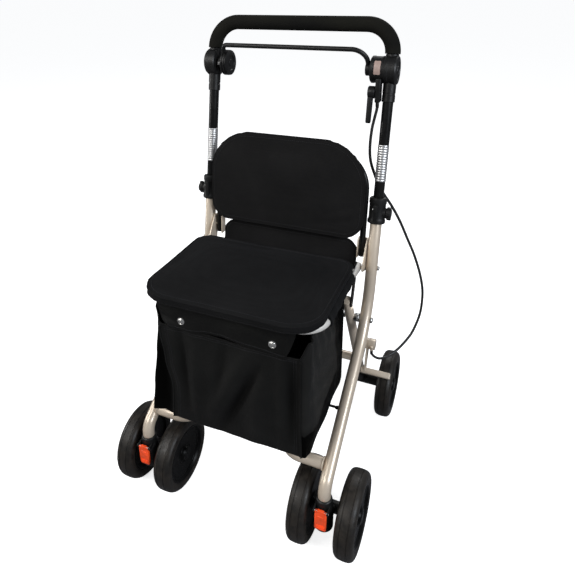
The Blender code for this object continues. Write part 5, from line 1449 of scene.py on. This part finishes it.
# %% Seat cushion
SEAT_BASE = 0.4585
SEAT_MIDDLE_Y = (0.232 - 0.005) / 2
SEAT_HALF_Y = (0.232 + 0.005) / 2
seat_stand = Matrix.Translation(at(-0.003, SEAT_MIDDLE_Y, SEAT_BASE))
SEAT_HALF_X, SEAT_CORNERS, SEAT_THICKNESS = 0.1662, (0.060, 0.031), 0.0145
SEAT_EDGE = (SEAT_HALF_X, SEAT_HALF_Y - 0.0010, *SEAT_CORNERS)
seat = pad_blank("seat_cushion_cover", *SEAT_EDGE, SEAT_THICKNESS, 0.0045)
blown_up(seat, SEAT_HALF_X, SEAT_HALF_Y, *SEAT_CORNERS, SEAT_THICKNESS, 4.5, 0.0120, 0.009)
for vertex in seat.data.vertices:
    across, along = vertex.co.x / 0.168, vertex.co.y / SEAT_HALF_Y
    vertex.co.x *= 1 - 0.010 * (1 - along * along) * abs(across)
    vertex.co.y *= 1 - 0.012 * (1 - across * across) * abs(along)
creased(seat, [
    ((-0.150, -0.090), (-0.060, -0.106), 0.010, 0.0016), ((0.060, -0.104), (0.140, -0.085), 0.011, 0.0014),
    ((0.152, -0.040), (0.120, 0.060), 0.012, 0.0014), ((-0.120, 0.095), (0.020, 0.104), 0.012, 0.0016),
    ((-0.152, -0.030), (-0.135, 0.050), 0.012, 0.0012),
])
smoothed(stood(seat, seat_stand))
settled(seat, "seat", "seat_fabric", SEAT_CLOTH, "seat_cushion")
sewn_edges(seat, SEAT_EDGE, seat_stand,
           (("seat_piping_top", 0.0128, 0.0014), ("seat_piping_low", 0.0022, 0.0011)),
           "seat_stitches", 0.0085, "seat", "seat_fabric", SEAT_CLOTH)
print("seat cushion top is at", round(max(v.co.z for v in seat.data.vertices), 4))

# %% [markdown]
# The seat's cover wraps round the two side tubes in sewn sleeves, which is what holds the cushion on.
# They start behind the front corners, where the bare tube shows, and end before the hinge ears. Each is
# a slack tube of cloth: a bar along the metal one, a little thicker at its two hems and waved between.

# %% Sleeves round the side tubes
def slack_sleeve(name, x, y_low, y_high, z, radius):
    """A cloth sleeve round a tube along Y, with hems at its ends."""
    steps = 36
    points = [at(x, y_low + (y_high - y_low) * i / steps, z) for i in range(steps + 1)]
    sleeve = healed(drawn_line(name, points, radius=radius, rounding=8))
    low, high = at(x, y_low, z), at(x, y_high, z)
    for vertex in sleeve.data.vertices:
        share = (vertex.co.y - low.y) / (high.y - low.y)
        dx, dz = vertex.co.x - low.x, vertex.co.z - low.z
        wave = 0.0005 * math.sin(share * 31 + dx * 260) + 0.0004 * math.sin(share * 17 - dz * 300)
        hem = 0.0007 if share < 0.05 or share > 0.95 else 0.0
        grow = 1 + (wave + hem) / radius
        vertex.co.x = low.x + dx * grow
        vertex.co.z = low.z + dz * grow
        if dz > 0:
            vertex.co.z += 0.0035 * dz / radius
    return eased(sleeve, 0.0006, 60)


for side, tag in SIDES:
    sleeve = slack_sleeve("seat_sleeve_" + tag, side * 0.1574, 0.062, 0.2035, SEAT_Z + 0.0003, 0.0093)
    settled(sleeve, "seat", "seat_fabric", SEAT_CLOTH)

# %% [markdown]
# The backrest pad is taller than it looks from the front and has large round upper corners. It leans
# back with its hoop. Its border is a separate strip, so it has piping on the front edge and a second one
# behind. A few slanting creases near its lower corner show where the cover is a little loose.

# %% Backrest pad
BACK_LEAN = math.radians(6)
PAD_MIDDLE_Z = (0.490 + 0.681) / 2
PAD_HALF_Z = (0.681 - 0.490) / 2 / math.cos(BACK_LEAN)
back_stand = (Matrix.Translation(back_point(-0.0045, PAD_MIDDLE_Z, 0.0063 / math.cos(BACK_LEAN)))
              @ Matrix.Rotation(math.radians(90) - BACK_LEAN, 4, "X"))
PAD_HALF_X, PAD_CORNERS, PAD_THICKNESS = 0.1635, (0.040, 0.088), 0.0088
PAD_EDGE = (PAD_HALF_X, PAD_HALF_Z - 0.0020, *PAD_CORNERS)
pad = pad_blank("backrest_cover", *PAD_EDGE, PAD_THICKNESS, 0.0042)
blown_up(pad, PAD_HALF_X, PAD_HALF_Z, *PAD_CORNERS, PAD_THICKNESS, 4.0, 0.0080, 0.0055)
creased(pad, [
    ((0.085, -0.052), (0.145, -0.030), 0.007, 0.0016), ((0.098, -0.070), (0.152, -0.052), 0.006, 0.0014),
    ((0.060, -0.075), (0.110, -0.060), 0.007, 0.0012), ((-0.150, -0.020), (-0.110, -0.060), 0.009, 0.0012),
    ((-0.060, 0.060), (0.060, 0.064), 0.012, 0.0010),
])
smoothed(stood(pad, back_stand))
settled(pad, "frame", "back_fabric", BACK_CLOTH, "backrest_pad")
sewn_edges(pad, PAD_EDGE, back_stand,
           (("back_piping_front", 0.0072, 0.0012), ("back_piping_rear", 0.0014, 0.0011)),
           "back_stitches", 0.0075, "frame", "back_fabric", BACK_CLOTH)

# %% [markdown]
# Below the backrest a thin padded panel closes the gap above the bag. It has rounded corners, a sewn
# edge and a few shallow creases. It is made the same way as the pads, only thinner and with less
# pressure, as if it held a sheet of felt and no foam.

# %% Rear panel
PANEL_MIDDLE_Z = (0.395 + 0.483) / 2
PANEL_HALF_Z = (0.483 - 0.395) / 2 / math.cos(LEAN)
panel_stand = (Matrix.Translation(post_point(0, PANEL_MIDDLE_Z, -0.0100 / math.cos(LEAN)))
               @ Matrix.Rotation(math.radians(90) - LEAN, 4, "X"))
PANEL_HALF_X, PANEL_CORNERS, PANEL_THICKNESS = 0.1470, (0.012, 0.026), 0.0052
PANEL_EDGE = (PANEL_HALF_X, PANEL_HALF_Z - 0.0006, *PANEL_CORNERS)
panel = pad_blank("rear_panel_cover", *PANEL_EDGE, PANEL_THICKNESS, 0.0040)
blown_up(panel, PANEL_HALF_X, PANEL_HALF_Z, *PANEL_CORNERS, PANEL_THICKNESS, 1.2, 0.0022, 0.0015)
creased(panel, [
    ((-0.120, 0.018), (-0.030, 0.005), 0.010, 0.0012), ((0.040, 0.010), (0.125, 0.020), 0.010, 0.0012),
    ((-0.020, -0.020), (0.060, -0.024), 0.012, 0.0010),
])
smoothed(stood(panel, panel_stand))
settled(panel, "frame", "back_fabric", BACK_CLOTH, "rear_panel")
sewn_edges(panel, PANEL_EDGE, panel_stand, (("panel_piping", 0.0028, 0.0013),), "panel_stitches", 0.0065,
           "frame", "back_fabric", BACK_CLOTH)

# %% [markdown]
# The bag is one lofted shell of thin cloth. A flat grid is rolled up: its one direction becomes the way
# round the bag and the other the way up the wall, with the first rows folded under as the bottom. Each
# side is then shaped as it hangs: the front bulges and drapes in slanting folds, its left seam is drawn
# in, and the side tucks in below a long crease. Five flat plates would be quicker and would look it.

# %% The bag's plan at each height
BAG_LOW, BAG_HIGH, BAG_FRONT_HIGH = 0.2166, 0.4398, 0.4080
BAG_WALL = 0.217


def eased_step(low, high, value):
    t = clamped((value - low) / (high - low))
    return t * t * (3 - 2 * t)


def between(table, z):
    """A value read off a table of heights and values."""
    if z <= table[0][0]:
        return table[0][1]
    for (z_low, low), (z_high, high) in zip(table, table[1:]):
        if z <= z_high:
            return low + (high - low) * eased_step(z_low, z_high, z)
    return table[-1][1]


# In these tables left and right are the sides of the photograph, and each pair is a height and a place
LEFT_SEAM = [(0.217, -0.108), (0.286, -0.106), (0.344, -0.120), (0.400, -0.130), (0.440, -0.133)]
LEFT_OUTER = [(0.220, -0.1525), (0.278, -0.1495), (0.340, -0.1480), (0.390, -0.1470), (0.440, -0.1440)]
LEFT_OUTER_BACK = [(0.220, 0.0000), (0.278, 0.0035), (0.340, 0.0120), (0.390, 0.0180), (0.440, 0.0200)]
GUSSET_DEPTH = [(0.220, 0.0030), (0.255, 0.0120), (0.330, 0.0120), (0.380, 0.0060), (0.440, 0.0010)]
RIGHT_SEAM = [(0.223, 0.141), (0.295, 0.137), (0.372, 0.135), (0.440, 0.134)]


def front_y(z):
    return -0.008 + (z - 0.225) * 20 / 215.5


def near(p, a, b, width):
    """How close a place is to a line, 1 on it and fading away, with the signed distance."""
    a, b, p = Vector(a), Vector(b), Vector(p)
    t = clamped((p - a).dot(b - a) / (b - a).length_squared)
    off = p - a.lerp(b, t)
    signed = off.length * (1 if (b - a).cross(off) > 0 else -1)
    return math.exp(-(signed / width) ** 2) * math.sin(math.pi * (0.10 + 0.80 * t)), signed


# Each fold has its two ends, its width, and how far it stands out
FRONT_FOLDS = [
    ((0.060, 0.372), (-0.006, 0.232), 0.0085, -0.0098), ((0.038, 0.392), (-0.036, 0.236), 0.013, 0.0055),
    ((0.064, 0.350), (0.052, 0.232), 0.016, 0.0070), ((0.118, 0.392), (0.122, 0.250), 0.0085, -0.0085),
    ((0.100, 0.400), (0.103, 0.236), 0.008, 0.0036), ((-0.090, 0.408), (-0.074, 0.250), 0.010, -0.0062),
    ((-0.060, 0.400), (-0.056, 0.235), 0.012, 0.0044), ((0.000, 0.400), (-0.014, 0.300), 0.010, -0.0040),
]


def front_push(x, z):
    """How far the front cloth stands out at a place."""
    share = clamped((z - BAG_LOW) / (BAG_FRONT_HIGH - BAG_LOW))
    push = 0.0055 * math.sin(math.pi * share) * max(0.0, 1 - (x / 0.14) ** 2)
    for a, b, width, depth in FRONT_FOLDS:
        push += depth * near((x, z), a, b, width)[0]
    return push


CREASE = [(-0.030, 0.252), (0.000, 0.269), (0.028, 0.275), (0.072, 0.293), (0.135, 0.300), (0.230, 0.300)]
RIDGE = 0.0062


def side_swell(y, z):
    """How far the side cloth stands out: it breaks along the gusset's long crease, above its foot."""
    crease_z = between(CREASE, y)
    if z < crease_z:
        swell = RIDGE * max(0.0, (z - BAG_LOW) / (crease_z - BAG_LOW)) ** 1.3
    else:
        swell = RIDGE - 0.085 * (z - crease_z)
    behind = max(0.0, y - 0.135)
    swell -= 0.16 * behind * eased_step(0.235, 0.285, z)
    swell += 0.0016 * math.sin(y * 210 + z * 25) * eased_step(0.350, 0.425, z)
    swell += 0.0010 * math.sin(z * 150 + y * 60) * eased_step(0.0, 0.04, abs(z - crease_z))
    return swell


def painted_shade_and_light(x, y, z):
    """Painted shade and light for the bag's cloth at a place: painted shade in fold valleys, the sunken
    gusset and the lower and rear side, painted light on raised folds and the upper side.
    """
    front, left, right = front_y(z), between(LEFT_SEAM, z), between(RIGHT_SEAM, z)
    # painted shade in the sunken gusset left of the front seam
    if y < front + 0.030 and x < left + 0.002:
        return 0.80 * eased_step(left + 0.002, left - 0.010, x) if z < 0.425 else 0.3
    # painted shade in the fold valleys and painted light on the raised folds of the front
    if y < front + 0.012 and x < right:
        shade = -0.12
        for a, b, width, depth in FRONT_FOLDS:
            shade += (-55.0 if depth < 0 else -26.0) * depth * near((x, z), a, b, width * 1.2)[0]
        return max(-0.5, min(0.75, shade))
    # painted shade on the rear of the side and below its crease, painted light above the crease
    if x > 0.136 and y < 0.200:
        crease_z = between(CREASE, y)
        if y > 0.135:
            return 0.78 * eased_step(0.128, 0.146, y)
        return 0.84 if z < crease_z - 0.004 else -0.55 * eased_step(crease_z - 0.004, crease_z + 0.010, z)
    return 0.0


def foot_height(y):
    """The bag's bottom line, which rises a little towards the back."""
    return BAG_LOW + 0.045 * max(0.0, y)


def plan_point(s, z):
    """A place on the bag's wall: s goes once round it, from the middle of its back to the right."""
    f = front_y(z)
    left, outer, right = between(LEFT_SEAM, z), between(LEFT_OUTER, z), between(RIGHT_SEAM, z)
    sag = math.sin(math.pi * clamped((z - BAG_LOW) / BAG_WALL))
    back = 0.2245 - 0.004 * sag
    knots = [(0.000, 0.0, back), (0.120, 0.1340, back), (0.128, 0.1380, back - 0.004), (0.145, 0.1380, 0.204),
             (0.160, 0.1490, 0.197), (0.170, 0.1515, 0.192), (0.335, 0.1515, f + 0.014),
             (0.345, 0.1490, f + 0.005), (0.355, right + 0.007, f + 0.0006), (0.362, right, f),
             (0.660, left, f), (0.668, left - 0.003, f + 0.0040),
             (0.679, left + (outer - left) * 0.55, f + 0.004 + between(GUSSET_DEPTH, z)),
             (0.690, outer, f + between(LEFT_OUTER_BACK, z)), (0.835, outer, 0.192),
             (0.845, outer + 0.003, 0.197), (0.855, -0.1380, 0.204),
             (0.872, -0.1380, back - 0.004), (0.880, -0.1340, back), (1.000, 0.0, back)]
    for (s_low, x_low, y_low), (s_high, x_high, y_high) in zip(knots, knots[1:]):
        if s <= s_high:
            t = (s - s_low) / (s_high - s_low)
            x, y = x_low + (x_high - x_low) * t, y_low + (y_high - y_low) * t
            break
    if 0.355 <= s <= 0.668:
        y -= front_push(x, z) * eased_step(0.355, 0.372, s) * (1 - eased_step(0.645, 0.668, s))
        piped = max(math.exp(-((s - 0.3625) / 0.0028) ** 2), math.exp(-((s - 0.657) / 0.0028) ** 2))
        y -= 0.0016 * piped
    elif 0.170 < s < 0.345:
        x += side_swell(y, z) * eased_step(0.170, 0.185, s) * (1 - eased_step(0.325, 0.345, s))
    elif 0.690 < s < 0.835:
        x -= side_swell(y, z) * 0.8 * eased_step(0.690, 0.715, s) * (1 - eased_step(0.815, 0.835, s))
        x -= 0.003 * math.sin(math.pi * (s - 0.690) / 0.145) * eased_step(0.25, 0.35, z)
    elif s < 0.120 or s > 0.880:
        y += 0.0016 * math.sin(x * 70) * sag
    return x, y


def rim_height(s):
    """The top of the wall: low at the front, under the flap, and high elsewhere."""
    dip = eased_step(0.348, 0.366, s) * (1 - eased_step(0.652, 0.684, s))
    return BAG_HIGH - dip * (BAG_HIGH - BAG_FRONT_HIGH - 0.0012 * math.sin(s * 60))


print("front seams at mid height:", round(between(LEFT_SEAM, 0.33), 3), round(between(RIGHT_SEAM, 0.33), 3))

# %% [markdown]
# The plan is now laid on a grid. Each column of points climbs the wall at one place round the bag, and
# each row runs round it at one height. The cloth then gets its thickness on the inner side, and a value
# on each point paints shade into its fold valleys, its sunken gusset and the lower side, and paints
# light on its raised folds and the upper side. Cutting panels and joining them, as a bag maker does,
# would leave gaps along the seams.

# %% Lofting the bag
BOTTOM_SHARE, BOTTOM_SPREAD = 0.20, 0.985
bpy.ops.object.select_all(action="DESELECT")
bpy.ops.mesh.primitive_grid_add(x_subdivisions=300, y_subdivisions=72, size=1)
bag = bpy.context.object
bag.name = "shopping_bag"
bag_middle = Vector((0.0, 0.105))
for vertex in bag.data.vertices:
    s, rise = vertex.co.x + 0.5, vertex.co.y + 0.5
    if rise < BOTTOM_SHARE:
        share = rise / BOTTOM_SHARE
        x, y = plan_point(s, BAG_LOW)
        x = bag_middle.x + (x - bag_middle.x) * share * BOTTOM_SPREAD
        y = bag_middle.y + (y - bag_middle.y) * share * BOTTOM_SPREAD
        z = foot_height(y) + 0.0016 - 0.0016 * math.cos(math.pi * share) - 0.0014 * (1 - share * share)
    else:
        share = (rise - BOTTOM_SHARE) / (1 - BOTTOM_SHARE)
        low = foot_height(plan_point(s, BAG_LOW)[1]) + 0.0034
        z = low + (rim_height(s) - low) * share
        x, y = plan_point(s, z)
    vertex.co = at(x, y, z)
modified(healed(bag, 0.00003), "SOLIDIFY", thickness=0.0014, offset=-1)
bpy.ops.object.shade_smooth()
# each point gets its painted shade or painted light
painted_shade_marks = bag.data.attributes.new("shade", "FLOAT", "POINT")
for vertex, mark in zip(bag.data.vertices, painted_shade_marks.data):
    mark.value = painted_shade_and_light(vertex.co.x - CENTRE_X, vertex.co.y - STEM_Y, vertex.co.z)
settled(bag, "frame", "bag_fabric", BAG_CLOTH, "bag")
print("the bag has", len(bag.data.polygons), "faces")

# %% [markdown]
# A binding tape finishes the bag's rim, double stitching runs beside the front seams and along the
# rim, and a strap on each side ties the bag's foot to the main tube. The strap is a thin flat tape with
# a rivet near its end. A loop sewn round the tube would be another way, but the tape keeps to the
# model's own strap.

# %% Rim tape, seams and straps
rim_points = []
for index in range(220):
    s = index / 220
    z = rim_height(s)
    x, y = plan_point(s, z)
    rim_points.append(at(x, y, z - 0.0010))
rim = drawn_line("bag_rim_tape", rim_points, closed=True, radius=0.0016, rounding=2)
healed(rim)
bpy.ops.object.shade_smooth()
settled(rim, "frame", "bag_fabric", BAG_CLOTH)


def seam_spots(s_of, z_low, z_high, spacing=0.0042):
    """Places just in front of the bag along a seam, with the direction to the next one."""
    count = int((z_high - z_low) / spacing)
    places = []
    for index in range(count + 1):
        z = z_low + (z_high - z_low) * index / count
        x, y = plan_point(s_of(z), z)
        places.append(at(x, y - 0.03, z))
    return [(a, b - a) for a, b in zip(places, places[1:])]


for label, share in (("left", 0.3620), ("right", 0.6585)):
    seam = []
    for index in range(61):
        z = BAG_LOW + 0.0060 + (0.4050 - BAG_LOW - 0.0060) * index / 60
        x, y = plan_point(share, z)
        seam.append(at(x, y - 0.0010, z))
    piping = healed(drawn_line("bag_piping_" + label, seam, radius=0.0013, rounding=2))
    bpy.ops.object.shade_smooth()
    settled(piping, "frame", "bag_fabric", BAG_CLOTH)

front_spots = []
for share in (0.3720, 0.3775, 0.6480, 0.6425):
    front_spots += seam_spots(lambda z: share, 0.231, 0.404)
for z in (0.4035, 0.4000):
    for index in range(62):
        x = -0.120 + 0.245 * index / 61
        front_spots.append((at(x, front_y(z) - 0.04, z), Vector((1, 0, 0))))
settled(stitches("bag_stitches", bag, front_spots, Vector((0, 1, 0))), "frame", "bag_fabric", THREAD)

STRAP_Y, STRAP_TOP_Z = 0.1130, 0.2304
for side, tag in SIDES:
    tape_y = at(0, STRAP_Y, 0).y
    ends = sorted((at(side * 0.1250, 0, 0).x, at(side * 0.1705, 0, 0).x))
    tape = block("tape", (ends[0], tape_y - 0.0030, 0.2294), (ends[1], tape_y + 0.0030, STRAP_TOP_Z))
    tape = eased(tape, 0.0003)
    rivet = turned("rivet", [(0.0, 0.0014), (0.0030, 0.0012), (0.0038, 0.0002), (0.0038, -0.0022),
                             (0.0, -0.0022)], at(side * 0.1664, STRAP_Y, STRAP_TOP_Z), Vector((0, 0, 1)), 24)
    settled(merged("bag_strap_" + tag, tape, rivet), "frame", "bag_fabric", WEBBING)

# %% [markdown]
# The flap hangs from under the seat and is pressed to the bag with two nickel snaps. Its lower edge rises
# a little between them and runs up at both ends, in a longer slope at the right, where a dark gap into
# the bag stays open. It is a thin sheet, cut about 26 by 5 centimetres. A simulation of so short a cloth
# would only straighten it, so its points are placed on the lines that the photograph shows.

# %% Flap and snaps
FLAP_EDGE = [(-0.1310, 0.4480), (-0.1240, 0.4300), (-0.1180, 0.4206), (-0.1050, 0.4120), (-0.0920, 0.4072),
             (-0.0680, 0.4060), (-0.0360, 0.4120), (-0.0060, 0.4148), (0.0200, 0.4132), (0.0450, 0.4100),
             (0.0700, 0.4070), (0.0860, 0.4052), (0.1000, 0.4040), (0.1080, 0.4046), (0.1160, 0.4220),
             (0.1250, 0.4500)]
SNAPS = ((-0.0845, 0.4240), (0.0855, 0.4250))
FLAP_TOP = 0.4566
FLAP_MIDDLE_X, FLAP_WIDTH = -0.003, 0.2556


def flap_low(x):
    for (x_low, low), (x_high, high) in zip(FLAP_EDGE, FLAP_EDGE[1:]):
        if x <= x_high:
            return low + (high - low) * max(0.0, (x - x_low) / (x_high - x_low))
    return FLAP_EDGE[-1][1]


def flap_lift(x, z):
    """How far the flap stands off the bag."""
    lift = 0.0034 + 0.0022 * math.sin(x * 46 + 0.6) * eased_step(0.455, 0.43, z)
    lift += 0.0030 * near((x, z), (-0.120, 0.424), (-0.090, 0.412), 0.0055)[0]
    lift -= 0.0026 * near((x, z), (-0.128, 0.436), (-0.094, 0.420), 0.0050)[0]
    lift += 0.0020 * near((x, z), (0.020, 0.448), (0.076, 0.428), 0.0080)[0]
    for sx, sz in SNAPS:
        lift -= 0.0020 * math.exp(-(((x - sx) ** 2 + (z - sz) ** 2) / 0.011 ** 2))
    return max(0.0020, lift)


bpy.ops.object.select_all(action="DESELECT")
bpy.ops.mesh.primitive_grid_add(x_subdivisions=120, y_subdivisions=22, size=1)
flap = bpy.context.object
flap.name = "bag_flap_sheet"
for vertex in flap.data.vertices:
    x = FLAP_MIDDLE_X + vertex.co.x * FLAP_WIDTH
    low = flap_low(x)
    z = FLAP_TOP + (low - FLAP_TOP) * (0.5 - vertex.co.y)
    push = front_push(x, min(z, BAG_FRONT_HIGH)) * eased_step(0.45, 0.41, z)
    vertex.co = at(x, front_y(z) - flap_lift(x, z) - push, z)
modified(flap, "SOLIDIFY", thickness=0.0011, offset=0)
healed(flap, 0.00001)
smoothed(flap)
settled(flap, "frame", "bag_fabric", BAG_CLOTH, "bag_flap")

for (x, z), tag in zip(SNAPS, ("right", "left")):
    y = front_y(z) - flap_lift(x, z) - front_push(x, BAG_FRONT_HIGH) * eased_step(0.45, 0.41, z)
    outward = Vector((0, -1, 0.093)).normalized()
    snap = turned("bag_snap_" + tag, [(0.0, -0.0006), (0.0066, -0.0006), (0.0070, 0.0002), (0.0068, 0.0010),
                                      (0.0056, 0.0013), (0.0051, 0.0010), (0.0046, 0.0016), (0.0032, 0.0026),
                                      (0.0016, 0.0030), (0.0, 0.0031)],
                  at(x, y - 0.0006, z), outward, 48)
    settled(snap, "frame", "steel", NICKEL)
    print("snap at", x, round(y, 4), z)

flap_spots = []
for index in range(58):
    x = -0.110 + 0.215 * index / 57
    flap_spots.append((at(x, front_y(0.41) - 0.05, flap_low(x) + 0.0045), Vector((1, 0, 0))))
hem = settled(stitches("flap_stitches", flap, flap_spots, Vector((0, 1, 0))), "frame", "bag_fabric", THREAD)

# %% [markdown]
# Last, the bounds of the dressed model are measured. A soft part may stand a few millimetres proud.

# %% End
low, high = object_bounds()
